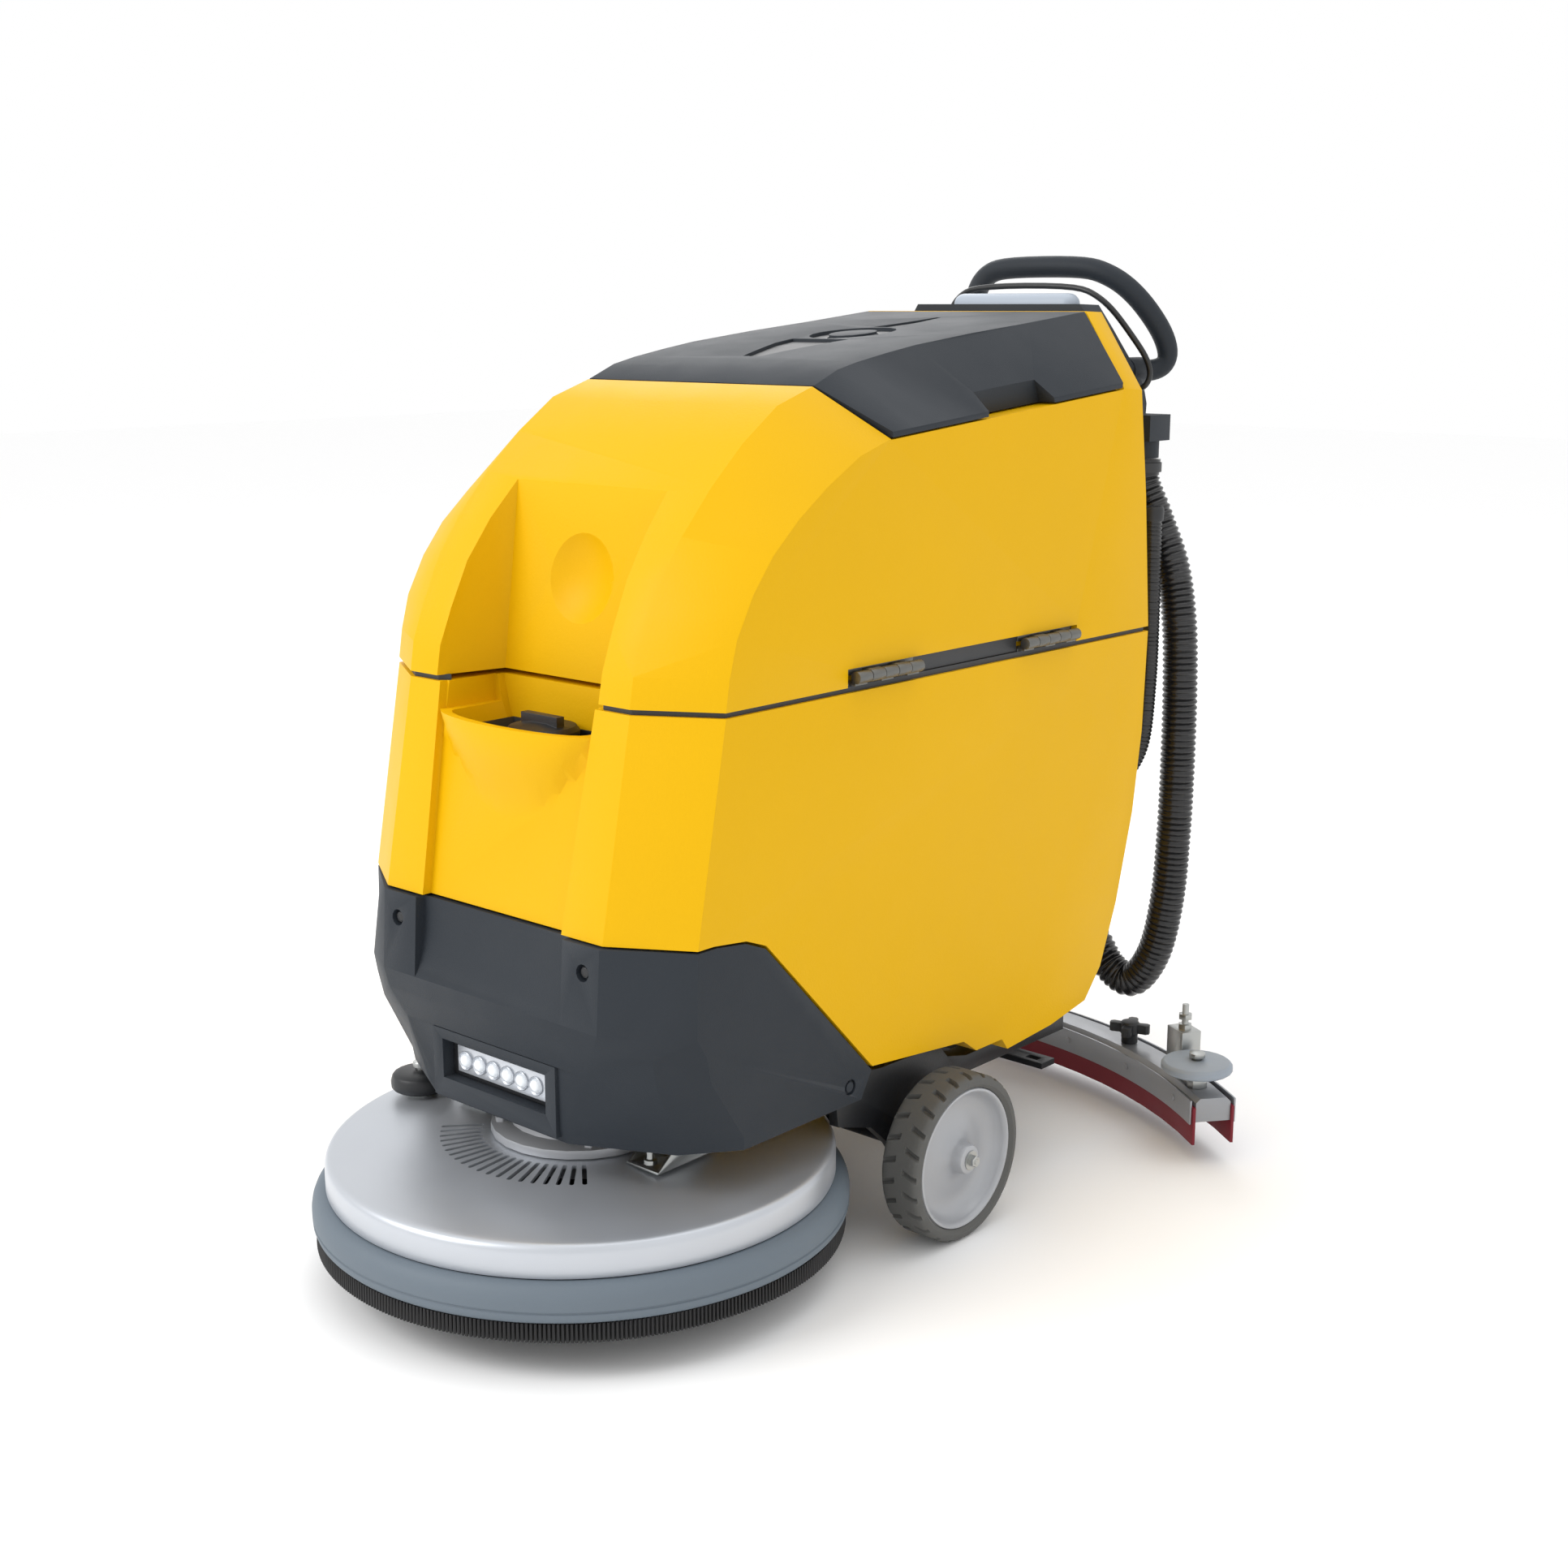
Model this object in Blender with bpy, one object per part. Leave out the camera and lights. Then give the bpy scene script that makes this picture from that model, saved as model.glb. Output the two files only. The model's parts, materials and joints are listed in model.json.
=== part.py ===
"""Walk-behind floor scrubber: deck, tanks, drive, handle and squeegee as separate parts.

Metres, +Z up, floor at Z = 0. The machine faces -Y and its left side is +X.
The brush deck and the squeegee are drawn lifted, as the machine stands for transport.
"""
import math

import bmesh
import bpy
from mathutils import Matrix, Vector

# ---- driving dimensions -------------------------------------------------------------
HALF = 0.235            # half width of the body at its sides
FACE = 0.158            # half width of the front face and of the top
SEAM_LOW = 0.6050       # top of the solution tank
SEAM_HIGH = 0.6105      # underside of the recovery tank
HINGE = (0.2395, 0.620)  # x and z of the tank hinge
HINGE_R = 0.0062
PIN_R = 0.0026

DECK = (0.0, -0.292)    # brush deck centre
DECK_R = 0.2625
RING_R = 0.277
DECK_LOW = 0.0975       # lower edge of the silver cover
DECK_TOP = 0.140
BRISTLE_LOW = 0.040
ROLLER = (-0.212, -0.332)

WHEEL_R = 0.0909
RIM_R = 0.0772
WHEEL_IN = 0.232
WHEEL_OUT = 0.280
AXLE_Y = 0.0

CASTER_X = 0.105
CASTER_Y = 0.168
CASTER_TRAIL = 0.030
CASTER_R = 0.0375

SQUEEGEE_ARC = 0.600    # radius of the squeegee channel's middle line
SQUEEGEE_Y = -0.123     # y of that arc's centre
SQUEEGEE_HALF = math.radians(38.0)
BLADE_LOW = 0.025
CHANNEL_LOW = 0.052
CHANNEL_TOP = 0.080
PORT_Y = SQUEEGEE_Y + SQUEEGEE_ARC
ARM_PIVOT = (0.262, 0.128)      # y and z of the squeegee lift pivot

LID_LINE = ((-0.087, 0.845), (0.316, 0.881))   # where the lid meets the tank's sides
LID_REAR = (0.353, 0.963)
LID_FRONT = (-0.114, 0.893)
LID_HINGE = (-0.2368, 0.8445)
FILLER_Y = -0.3325

HANDLE_R = 0.0135
BAIL_R = 0.004
BAIL_PIVOT = (0.497, 0.873)
HOSE_D = 0.042
DRAIN_D = 0.024

# the suction hose hangs from the console, turns up and drops into the squeegee port
SUCTION_ROUTE = [
    (0.1680, 0.4680, 0.7940), (0.1680, 0.4680, 0.768), (0.1850, 0.4740, 0.725), (0.2080, 0.4780, 0.667),
    (0.2210, 0.4780, 0.600), (0.2255, 0.4780, 0.520), (0.2265, 0.4780, 0.423), (0.2250, 0.4780, 0.340),
    (0.2200, 0.4780, 0.262), (0.2050, 0.4780, 0.192), (0.1760, 0.4780, 0.150), (0.1440, 0.4780, 0.158),
    (0.1180, 0.4780, 0.190), (0.0850, 0.4780, 0.218), (0.0430, 0.4775, 0.220), (0.0100, 0.4770, 0.196),
    (0.0, 0.4770, 0.158), (0.0, 0.4770, 0.1290),
]

# the drain hose drops from the tank's elbow, turns up and ends in the clip
DRAIN_ROUTE = [
    (0.110, 0.4240, 0.6530), (0.110, 0.4240, 0.6260), (0.111, 0.4260, 0.545), (0.119, 0.4300, 0.468),
    (0.143, 0.4335, 0.423), (0.175, 0.4350, 0.421), (0.198, 0.4360, 0.460), (0.205, 0.4360, 0.535),
    (0.206, 0.4355, 0.620), (0.205, 0.4350, 0.700), (0.204, 0.4350, 0.742),
]


# ---- materials ----------------------------------------------------------------------
def finish(name, color, roughness, metallic=0.0):
    material = bpy.data.materials.get(name) or bpy.data.materials.new(name)
    material.use_nodes = True
    shader = material.node_tree.nodes["Principled BSDF"]
    shader.inputs["Base Color"].default_value = (*color, 1.0)
    shader.inputs["Roughness"].default_value = roughness
    shader.inputs["Metallic"].default_value = metallic
    material.diffuse_color = (*color, 1.0)
    return material


YELLOW = ("tank_yellow", (0.83, 0.46, 0.012), 0.42)
CHARCOAL = ("charcoal_plastic", (0.045, 0.055, 0.068), 0.5)
BLACK = ("black_plastic", (0.012, 0.013, 0.015), 0.5)
FRAME = ("frame_black", (0.015, 0.016, 0.018), 0.45, 0.2)
SILVER = ("silver_paint", (0.56, 0.57, 0.59), 0.38, 0.75)
ZINC = ("zinc_steel", (0.62, 0.64, 0.64), 0.28, 0.95)
BLUE_GREY = ("ring_rubber", (0.20, 0.25, 0.30), 0.6)
TYRE = ("tyre_grey", (0.16, 0.16, 0.155), 0.85)
HUB = ("hub_grey", (0.42, 0.43, 0.44), 0.4, 0.3)
PALE = ("panel_grey", (0.42, 0.46, 0.52), 0.4)
RED = ("squeegee_rubber", (0.13, 0.008, 0.018), 0.55)
BRISTLE = ("bristle_black", (0.008, 0.008, 0.009), 0.9)
LENS = ("clear_lens", (0.85, 0.87, 0.9), 0.1)
BATTERY = ("battery_case", (0.03, 0.03, 0.035), 0.5)
SIGNAL = ("button_green", (0.02, 0.25, 0.07), 0.4)


# ---- building helpers ---------------------------------------------------------------
def make(name, verts, faces, look):
    mesh = bpy.data.meshes.new(name)
    mesh.from_pydata([tuple(v) for v in verts], [], faces)
    bm = bmesh.new()
    bm.from_mesh(mesh)
    bmesh.ops.remove_doubles(bm, verts=bm.verts, dist=1e-6)
    bmesh.ops.recalc_face_normals(bm, faces=bm.faces)
    bm.to_mesh(mesh)
    bm.free()
    obj = bpy.data.objects.new(name, mesh)
    bpy.context.scene.collection.objects.link(obj)
    mesh.materials.append(finish(*look))
    return obj


def loft(name, rings, look):
    """Skin equal rings of points, with a flat cap on the first and the last."""
    count = len(rings[0])
    verts = [v for ring in rings for v in ring]
    faces = []
    for r in range(len(rings) - 1):
        for i in range(count):
            j = (i + 1) % count
            faces.append((r * count + i, r * count + j, (r + 1) * count + j, (r + 1) * count + i))
    faces.append(tuple(range(count)))
    faces.append(tuple(range((len(rings) - 1) * count, len(rings) * count)))
    return make(name, verts, faces, look)


def side_prism(name, outline, x0, x1, look):
    """An outline of (y, z) points, pushed from x0 to x1."""
    return loft(name, [[(x, y, z) for y, z in outline] for x in (x0, x1)], look)


def plan_prism(name, outline, z0, z1, look):
    """An outline of (x, y) points, pushed from z0 to z1."""
    return loft(name, [[(x, y, z) for x, y in outline] for z in (z0, z1)], look)


def shoulder_shell(name, outline, look):
    """A body whose outline is (yA, zA, yB, zB): A at the face edges, B at the sides."""
    face = [(ya, za) for ya, za, _, _ in outline]
    side = [(yb, zb) for _, _, yb, zb in outline]
    rings = []
    for x, ring in ((-HALF, side), (-FACE, face), (FACE, face), (HALF, side)):
        rings.append([(x, y, z) for y, z in ring])
    return loft(name, rings, look)


def box(name, x0, x1, y0, y1, z0, z1, look):
    return plan_prism(name, [(x0, y0), (x1, y0), (x1, y1), (x0, y1)], z0, z1, look)


def turned(name, profile, centre, look, axis="Z", sides=48):
    """Turn (radius, height) points about an axis through centre. Radius 0 makes a pole."""
    verts, rings = [], []
    for radius, height in profile:
        if radius < 1e-7:
            rings.append([len(verts)])
            verts.append(Vector((0, 0, height)))
            continue
        ring = []
        for k in range(sides):
            a = 2 * math.pi * (k + 0.5) / sides
            ring.append(len(verts))
            verts.append(Vector((radius * math.cos(a), radius * math.sin(a), height)))
        rings.append(ring)
    faces = []
    for r in range(len(rings)):
        a, b = rings[r], rings[(r + 1) % len(rings)]
        if len(a) == 1 and len(b) == 1:
            continue
        for k in range(sides):
            n = (k + 1) % sides
            if len(a) == 1:
                faces.append((a[0], b[n], b[k]))
            elif len(b) == 1:
                faces.append((a[k], a[n], b[0]))
            else:
                faces.append((a[k], a[n], b[n], b[k]))
    turn = {
        "Z": Matrix.Identity(3),
        "X": Matrix.Rotation(math.radians(90), 3, "Y"),
        "Y": Matrix.Rotation(math.radians(-90), 3, "X"),
    }[axis]
    return make(name, [turn @ v + Vector(centre) for v in verts], faces, look)


def rod(name, start, end, radius, look, sides=12):
    """A plain round bar between two points."""
    return sweep(name, [start, end], radius, look, sides)


def sweep(name, points, radius, look, sides=10):
    """A round bar that follows points."""
    points = [Vector(p) for p in points]
    tangents = []
    for i in range(len(points)):
        before = points[max(i - 1, 0)]
        after = points[min(i + 1, len(points) - 1)]
        tangents.append((after - before).normalized())
    normal = tangents[0].orthogonal().normalized()
    rings = []
    for i, (point, tangent) in enumerate(zip(points, tangents)):
        if i:
            normal = (normal - tangent * normal.dot(tangent)).normalized()
        side = tangent.cross(normal)
        ring = []
        for k in range(sides):
            a = 2 * math.pi * k / sides
            ring.append(point + radius * (math.cos(a) * normal + math.sin(a) * side))
        rings.append(ring)
    return loft(name, rings, look)


def combine(target, tools, operation):
    """Boolean target with each tool, and drop the tools."""
    look = target.data.materials[0]
    for tool in tools:
        step = target.modifiers.new("step", "BOOLEAN")
        step.operation = operation
        step.solver = "EXACT"
        step.object = tool
    graph = bpy.context.evaluated_depsgraph_get()
    mesh = bpy.data.meshes.new_from_object(target.evaluated_get(graph))
    target.modifiers.clear()
    old = target.data
    target.data = mesh
    mesh.name = old.name
    bpy.data.meshes.remove(old)
    mesh.materials.clear()
    mesh.materials.append(look)
    for polygon in mesh.polygons:
        polygon.material_index = 0
    for tool in tools:
        bpy.data.objects.remove(tool)
    return target


def cut(target, *tools):
    return combine(target, tools, "DIFFERENCE")


def fuse(target, *tools):
    return combine(target, tools, "UNION")


def spline(points, step):
    """A smooth line through points, cut into lengths of about step."""
    points = [Vector(p) for p in points]
    line = [points[0]]
    for i in range(len(points) - 1):
        p0 = points[max(i - 1, 0)]
        p1, p2 = points[i], points[i + 1]
        p3 = points[min(i + 2, len(points) - 1)]
        count = max(1, round((p2 - p1).length / step))
        for k in range(1, count + 1):
            t = k / count
            line.append(
                0.5 * (2 * p1 + (p2 - p0) * t + (2 * p0 - 5 * p1 + 4 * p2 - p3) * t ** 2
                       + (3 * p1 - p0 - 3 * p2 + p3) * t ** 3)
            )
    return line


def pivot(obj, point):
    """Put an object's origin on its joint axis, with its mesh where it was."""
    point = Vector(point)
    obj.data.transform(Matrix.Translation(-point))
    obj.location = point
    return obj


def mirror_x(points):
    return [(-x, y, z) for x, y, z in points]


# ---- body shells --------------------------------------------------------------------
def lid_line(y):
    (y0, z0), (y1, z1) = LID_LINE
    return z0 + (z1 - z0) * (y - y0) / (y1 - y0)


def solution_tank():
    """Lower yellow tank: the body's base, with the battery well in its middle."""
    outline = [
        (-0.407, 0.3950, -0.360, 0.3950),
        (-0.387, 0.5000, -0.340, 0.5000),
        (-0.367, SEAM_LOW, -0.321, SEAM_LOW),
        (0.398, SEAM_LOW, 0.386, SEAM_LOW),
        (0.393, 0.489, 0.381, 0.489),
        (0.379, 0.395, 0.367, 0.395),
        (0.351, 0.292, 0.339, 0.292),
        (0.322, 0.220, 0.310, 0.220),
        (0.292, 0.186, 0.280, 0.186),
        (0.213, 0.174, 0.213, 0.174),
        (0.129, 0.168, 0.129, 0.168),
        (0.118, 0.182, 0.118, 0.182),
        (0.071, 0.182, 0.071, 0.182),
        (0.048, 0.198, 0.048, 0.198),
        (-0.107, 0.214, -0.107, 0.214),
        (-0.267, 0.379, -0.267, 0.379),
        (-0.295, 0.390, -0.295, 0.390),
        (-0.339, 0.3950, -0.339, 0.3950),
    ]
    tank = shoulder_shell("solution_tank", outline, YELLOW)

    # the pocket's lip swells out of the recessed front wall as half a funnel
    def lip_ring(t):
        z = 0.480 + 0.098 * t
        front = -0.3568 - 0.19 * (0.605 - z)
        reach = 0.034 * t * t * (3 - 2 * t)
        half = max(0.015, 0.112 * t ** 0.6)
        ring = [(0.118, front + 0.03), (-0.118, front + 0.03)]
        for k in range(25):
            x = -0.118 + 0.236 * k / 24
            u = 1 - (x / half) ** 2
            swell = math.sqrt((u + math.sqrt(u * u + 0.0025)) / 2)
            ring.append((x, front - reach * swell))
        return [(x, y, z) for x, y in ring]

    lip = loft("lip", [lip_ring(t) for t in (0.0, 0.12, 0.25, 0.4, 0.55, 0.7, 0.85, 1.0)], YELLOW)
    recess = loft("recess", [
        [(x, y, z) for x, y in ((-half, -0.5), (half, -0.5), (half - 0.004, face), (0.004 - half, face))]
        for z, half, face in ((0.38, 0.105, -0.3995), (0.615, 0.116, -0.3565))
    ], YELLOW)
    cut(tank, recess)
    fuse(tank, lip)

    # filler pocket behind the lip, with the water space under it
    def pocket_ring(z, half, reach):
        ring = [(half, -0.292), (-half, -0.292)]
        for k in range(13):
            a = math.pi * k / 12
            ring.append((-half * math.cos(a), -0.362 - reach * math.sin(a)))
        return [(x, y, z) for x, y in ring]

    pocket = loft("pocket", [pocket_ring(0.500, 0.074, 0.013), pocket_ring(0.579, 0.097, 0.026),
                             pocket_ring(0.62, 0.1065, 0.06)], YELLOW)
    gap = box("gap", -0.108, 0.108, -0.47, -0.30, 0.578, 0.62, YELLOW)
    water = box("water", -0.205, 0.205, -0.340, -0.192, 0.41, 0.48, YELLOW)
    neck = box("neck", -0.060, 0.060, -0.340, -0.296, 0.47, 0.52, YELLOW)
    well = side_prism("well", [(-0.095, 0.238), (0.292, 0.238), (0.325, 0.360), (0.325, 0.62),
                               (-0.168, 0.62), (-0.168, 0.320)], -0.205, 0.205, YELLOW)
    for hollow in (pocket, gap, water, neck, well):
        cut(tank, hollow)
    return tank


def recovery_hull():
    face = [(-0.367, SEAM_HIGH), (-0.362, 0.640), (-0.348, 0.676), (-0.326, 0.722), (-0.297, 0.762),
            (-0.258, 0.804), (-0.214, 0.843), (-0.166, 0.876), LID_FRONT]
    side = [(-0.321, SEAM_HIGH), (-0.316, 0.640), (-0.306, 0.675), (-0.284, 0.714), (-0.257, 0.747),
            (-0.222, 0.777), (-0.182, 0.804), (-0.135, 0.830), LID_LINE[0]]
    outline = [(ya, za, yb, zb) for (ya, za), (yb, zb) in zip(face, side)]
    outline += [
        (*LID_REAR, *LID_LINE[1]),
        (0.385, 0.962, 0.354, 0.878),
        (0.392, 0.780, 0.371, 0.760),
        (0.398, SEAM_HIGH, 0.386, SEAM_HIGH),
    ]
    return outline


def recovery_tank():
    """Upper yellow tank with its arched front, open at the top under the lid."""
    tank = shoulder_shell("recovery_tank", recovery_hull(), YELLOW)
    (y0, z0), (y1, z1) = LID_LINE
    bed = side_prism("bed", [
        (LID_FRONT[0] - 0.06, LID_FRONT[1] + 0.105), (LID_FRONT[0] - 0.001, LID_FRONT[1]),
        (y0 - 0.001, z0 - 0.0015), (y1 + 0.001, z1 - 0.0015),
        (LID_REAR[0] + 0.001, LID_REAR[1]), (LID_REAR[0] + 0.02, 1.0),
    ], -0.26, 0.26, YELLOW)
    hollow = side_prism("hollow", [
        (-0.240, 0.655), (-0.240, 0.712), (-0.185, 0.765), (-0.075, 0.822), (0.300, 0.848), (0.345, 0.80),
        (0.345, 0.655),
    ], -0.205, 0.205, YELLOW)
    mouth = box("mouth", -0.150, 0.150, -0.055, 0.285, 0.80, 0.95, YELLOW)
    recess = loft("recess", [
        [(-half - 0.036, -0.46, z), (half + 0.036, -0.46, z), (half, back, z), (-half, back, z)]
        for z, half, back in ((0.60, 0.100, -0.2935), (0.8035, 0.106, -0.262))
    ], YELLOW)
    cut(tank, bed)
    cut(tank, hollow, mouth)
    cut(tank, recess)
    dimple = turned("dimple", [(0, 0.02)] + [
        (0.078 * math.sin(a), 0.078 * math.cos(a) - 0.058)
        for a in [math.radians(12 * k) for k in range(1, 7)]
    ] + [(0, -0.058 + 0.078 * math.cos(math.radians(72)))], (0.0, -0.2815, 0.718), YELLOW, "Y", 24)
    cut(tank, dimple)
    slot = box("slot", 0.226, 0.25, -0.150, 0.240, 0.60, 0.6285, YELLOW)
    cut(tank, slot)
    drain = box("drain", 0.0940, 0.1260, 0.3700, 0.4400, 0.6540, 0.6850, YELLOW)
    fuse(tank, drain)
    return tank


LID_TOP = ((-0.1125, 0.8935), (-0.077, 0.908), (-0.046, 0.915), (0.0, 0.923), (0.045, 0.930),
           (0.141, 0.941), (0.243, 0.951), (0.351, 0.9625))


def lid_top(y):
    for (y0, z0), (y1, z1) in zip(LID_TOP, LID_TOP[1:]):
        if y <= y1:
            break
    return z0 + (z1 - z0) * (y - y0) / (y1 - y0)


def sunk(name, outline, depth):
    """A cutter that sinks a plan outline to an even depth below the lid's sloping top."""
    return loft(name, [[(x, y, lid_top(y) + lift) for x, y in outline] for lift in (-depth, 0.02)], CHARCOAL)


def recovery_lid():
    """Charcoal lid: flat top, sloping sides, hollow underneath."""
    rim = [-0.0855, -0.055, -0.025, 0.018, 0.060, 0.140, 0.225, 0.3155]
    outline = [(y, z, yb, lid_line(yb) + 0.006) for (y, z), yb in zip(LID_TOP, rim)]
    low_rear = (0.3145, lid_line(0.3145) + 0.0005)
    low_front = (-0.085, lid_line(-0.085) + 0.0005)
    outline.append((*low_rear, *low_rear))
    outline.append((*low_front, *low_front))
    lid = shoulder_shell("recovery_lid", outline, CHARCOAL)
    hollow = side_prism("hollow", [
        (-0.078, 0.80), (-0.098, 0.886), (-0.070, 0.900), (-0.040, 0.908), (0.045, 0.922),
        (0.141, 0.934), (0.243, 0.944), (0.340, 0.953), (0.308, 0.80),
    ], -0.152, 0.152, CHARCOAL)
    cut(lid, hollow)
    # finger grips under both long edges
    for side in (-1, 1):
        grip = loft("grip", [
            [(side * x, y, z) for y, z in
             ((0.068, 0.84), (0.070, 0.884), (0.176, 0.893), (0.198, 0.84))]
            for x in (0.214, 0.25)
        ], CHARCOAL)
        cut(lid, grip)
    # sunk oval with a raised middle, and a tapering groove before and behind it
    oval = [(0.047 * math.cos(a), 0.135 + 0.050 * math.sin(a))
            for a in [2 * math.pi * k / 20 for k in range(20)]]
    middle = [(x * 0.55, 0.135 + (y - 0.135) * 0.55) for x, y in oval]
    ring = sunk("ring", oval, 0.0045)
    cut(ring, loft("middle", [[(x, y, lid_top(y) + lift) for x, y in middle] for lift in (-0.02, 0.03)], CHARCOAL))
    wedge = sunk("wedge", [(-0.012, -0.030), (0.012, -0.030), (0.034, 0.045), (0.040, 0.080), (-0.040, 0.080),
                           (-0.034, 0.045)], 0.004)
    tail = sunk("tail", [(-0.016, 0.190), (0.016, 0.190), (0.003, 0.290), (-0.003, 0.290)], 0.003)
    for groove in (ring, wedge, tail):
        cut(lid, groove)
    return pivot(lid, (LID_HINGE[0], 0.114, LID_HINGE[1]))


def front_skirt():
    """Charcoal skirt round the front of the base: a bumper band over the lamp wall."""
    def ring(z, points):
        return [(-x, y, z) for x, y in reversed(points)] + [(x, y, z) for x, y in points]

    def plan(face_y, face_x, shoulder_x, shoulder_y, side_y):
        return [(face_x, face_y), (shoulder_x, shoulder_y), (HALF, side_y), (HALF, -0.10)]

    skirt = loft("front_skirt", [
        ring(0.183, plan(-0.401, 0.098, 0.196, -0.352, -0.300)),
        ring(0.196, plan(-0.405, 0.104, 0.200, -0.352, -0.300)),
        ring(0.262, plan(-0.406, 0.108, 0.200, -0.356, -0.306)),
        ring(0.290, plan(-0.416, 0.150, 0.204, -0.390, -0.350)),
        ring(0.310, plan(-0.4165, FACE, 0.205, -0.393, -0.362)),
        ring(0.3925, plan(-0.4110, FACE, 0.205, -0.380, -0.360)),
    ], CHARCOAL)
    slope = side_prism("slope", [
        (-0.3395, 0.3930), (-0.2955, 0.3875), (-0.2685, 0.3765), (-0.1085, 0.2105), (-0.126, 0.180),
        (-0.126, 0.17), (0.0, 0.17), (0.0, 0.42), (-0.3395, 0.42),
    ], -0.25, 0.25, CHARCOAL)
    inner = loft("inner", [
        [(-0.228, -0.05, z), (-0.228, -0.300, z), (-0.190, -0.342, z), (-0.095, -0.391, z),
         (0.095, -0.391, z), (0.190, -0.342, z), (0.228, -0.300, z), (0.228, -0.05, z)]
        for z in (0.1, 0.5)
    ], CHARCOAL)
    # scooped hand-hold between the two bolted corners
    hollow = [(-0.50, 0.41), (-0.4005, 0.41)]
    for k in range(9):
        a = math.pi / 2 * k / 8
        hollow.append((-0.4005 - 0.028 * (1 - math.cos(a)), 0.384 - 0.082 * math.sin(a)))
    hollow.append((-0.50, 0.30))
    scoop = side_prism("scoop", hollow, -0.108, 0.108, CHARCOAL)
    window = box("window", -0.0765, 0.0765, -0.42, -0.38, 0.2095, 0.2505, CHARCOAL)
    bezel = box("bezel", -0.091, 0.091, -0.4095, -0.396, 0.1890, 0.2610, CHARCOAL)
    cut(skirt, slope)
    cut(skirt, inner)
    cut(skirt, scoop)
    fuse(skirt, bezel)
    cut(skirt, window)
    for side in (-1, 1):
        for name, centre, axis, depth in (
            ("front", (side * 0.1364, -0.4180, 0.366), "Y", 0.0125),
            ("flank", (side * 0.236, -0.142, 0.201), "X", -side * 0.0045),
        ):
            hole = turned(name, [(0, -0.01 if depth > 0 else 0.01), (0.0085, -0.01 if depth > 0 else 0.01),
                                 (0.0085, depth), (0, depth)], centre, CHARCOAL, axis, 12)
            cut(skirt, hole)
        head = turned("head", [(0, side * -0.005), (0.0054, side * -0.005), (0.0054, side * 0.003), (0, side * 0.003)],
                      (side * 0.2315, -0.142, 0.201), CHARCOAL, "X", 12)
        fuse(skirt, head)
    return skirt


def skirt_bolts():
    """Cap screws sunk in the skirt's front corners."""
    cap = [(0, -0.0045), (0.0046, -0.0045), (0.0054, -0.0035), (0.0054, 0), (0, 0)]
    for side, word in ((1, "left"), (-1, "right")):
        turned(f"skirt_bolt_{word}", cap, (side * 0.1364, -0.4058, 0.366), BLACK, "Y", 12)


def lamp():
    """Work lamp in the skirt's window: a metal bar with a row of lenses."""
    bar = box("lamp_body", -0.0755, 0.0755, -0.3965, -0.372, 0.2105, 0.2495, SILVER)
    plate = box("lamp_lens", -0.066, 0.066, -0.3995, -0.3970, 0.2160, 0.2440, LENS)
    dome = [(0, -0.0062), (0.0045, -0.0052), (0.0075, -0.0025), (0.0085, 0.001), (0, 0.001)]
    domes = [turned("dome", dome, (-0.0525 + 0.021 * k, -0.3990, 0.230), LENS, "Y", 10) for k in range(6)]
    fuse(plate, *domes)
    return bar, plate


def filler():
    """Funnel tray in the front pocket, and the screw cap on its neck."""
    def ring(z, half, reach, back):
        points = [(half, back), (-half, back)]
        for k in range(9):
            a = math.pi * k / 8
            points.append((-half * math.cos(a), -0.361 - reach * math.sin(a)))
        return [(x, y, z) for x, y in points]

    tray = loft("filler_tray", [ring(0.5215, 0.078, 0.0145, -0.2925), ring(0.562, 0.089, 0.0200, -0.2925)], BLACK)
    bowl = loft("bowl", [ring(0.5265, 0.075, 0.0120, -0.2945), ring(0.58, 0.092, 0.0200, -0.2945)], BLACK)
    cut(tray, bowl)
    neck = turned("neck", [(0.0, 0.524), (0.028, 0.524), (0.028, 0.545), (0.0, 0.545)], (0, FILLER_Y, 0), BLACK,
                  sides=20)
    fuse(tray, neck)
    cap = turned("filler_cap", [
        (0, 0.5455), (0.0285, 0.5455), (0.0285, 0.5305), (0.0355, 0.5305), (0.0365, 0.566), (0.033, 0.5705),
        (0.012, 0.5735), (0, 0.5735),
    ], (0, FILLER_Y, 0), BLACK, sides=20)
    grip = box("grip", -0.026, 0.026, FILLER_Y - 0.005, FILLER_Y + 0.005, 0.569, 0.5815, BLACK)
    fuse(cap, grip)
    return pivot(cap, (0, FILLER_Y, 0.55))


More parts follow.
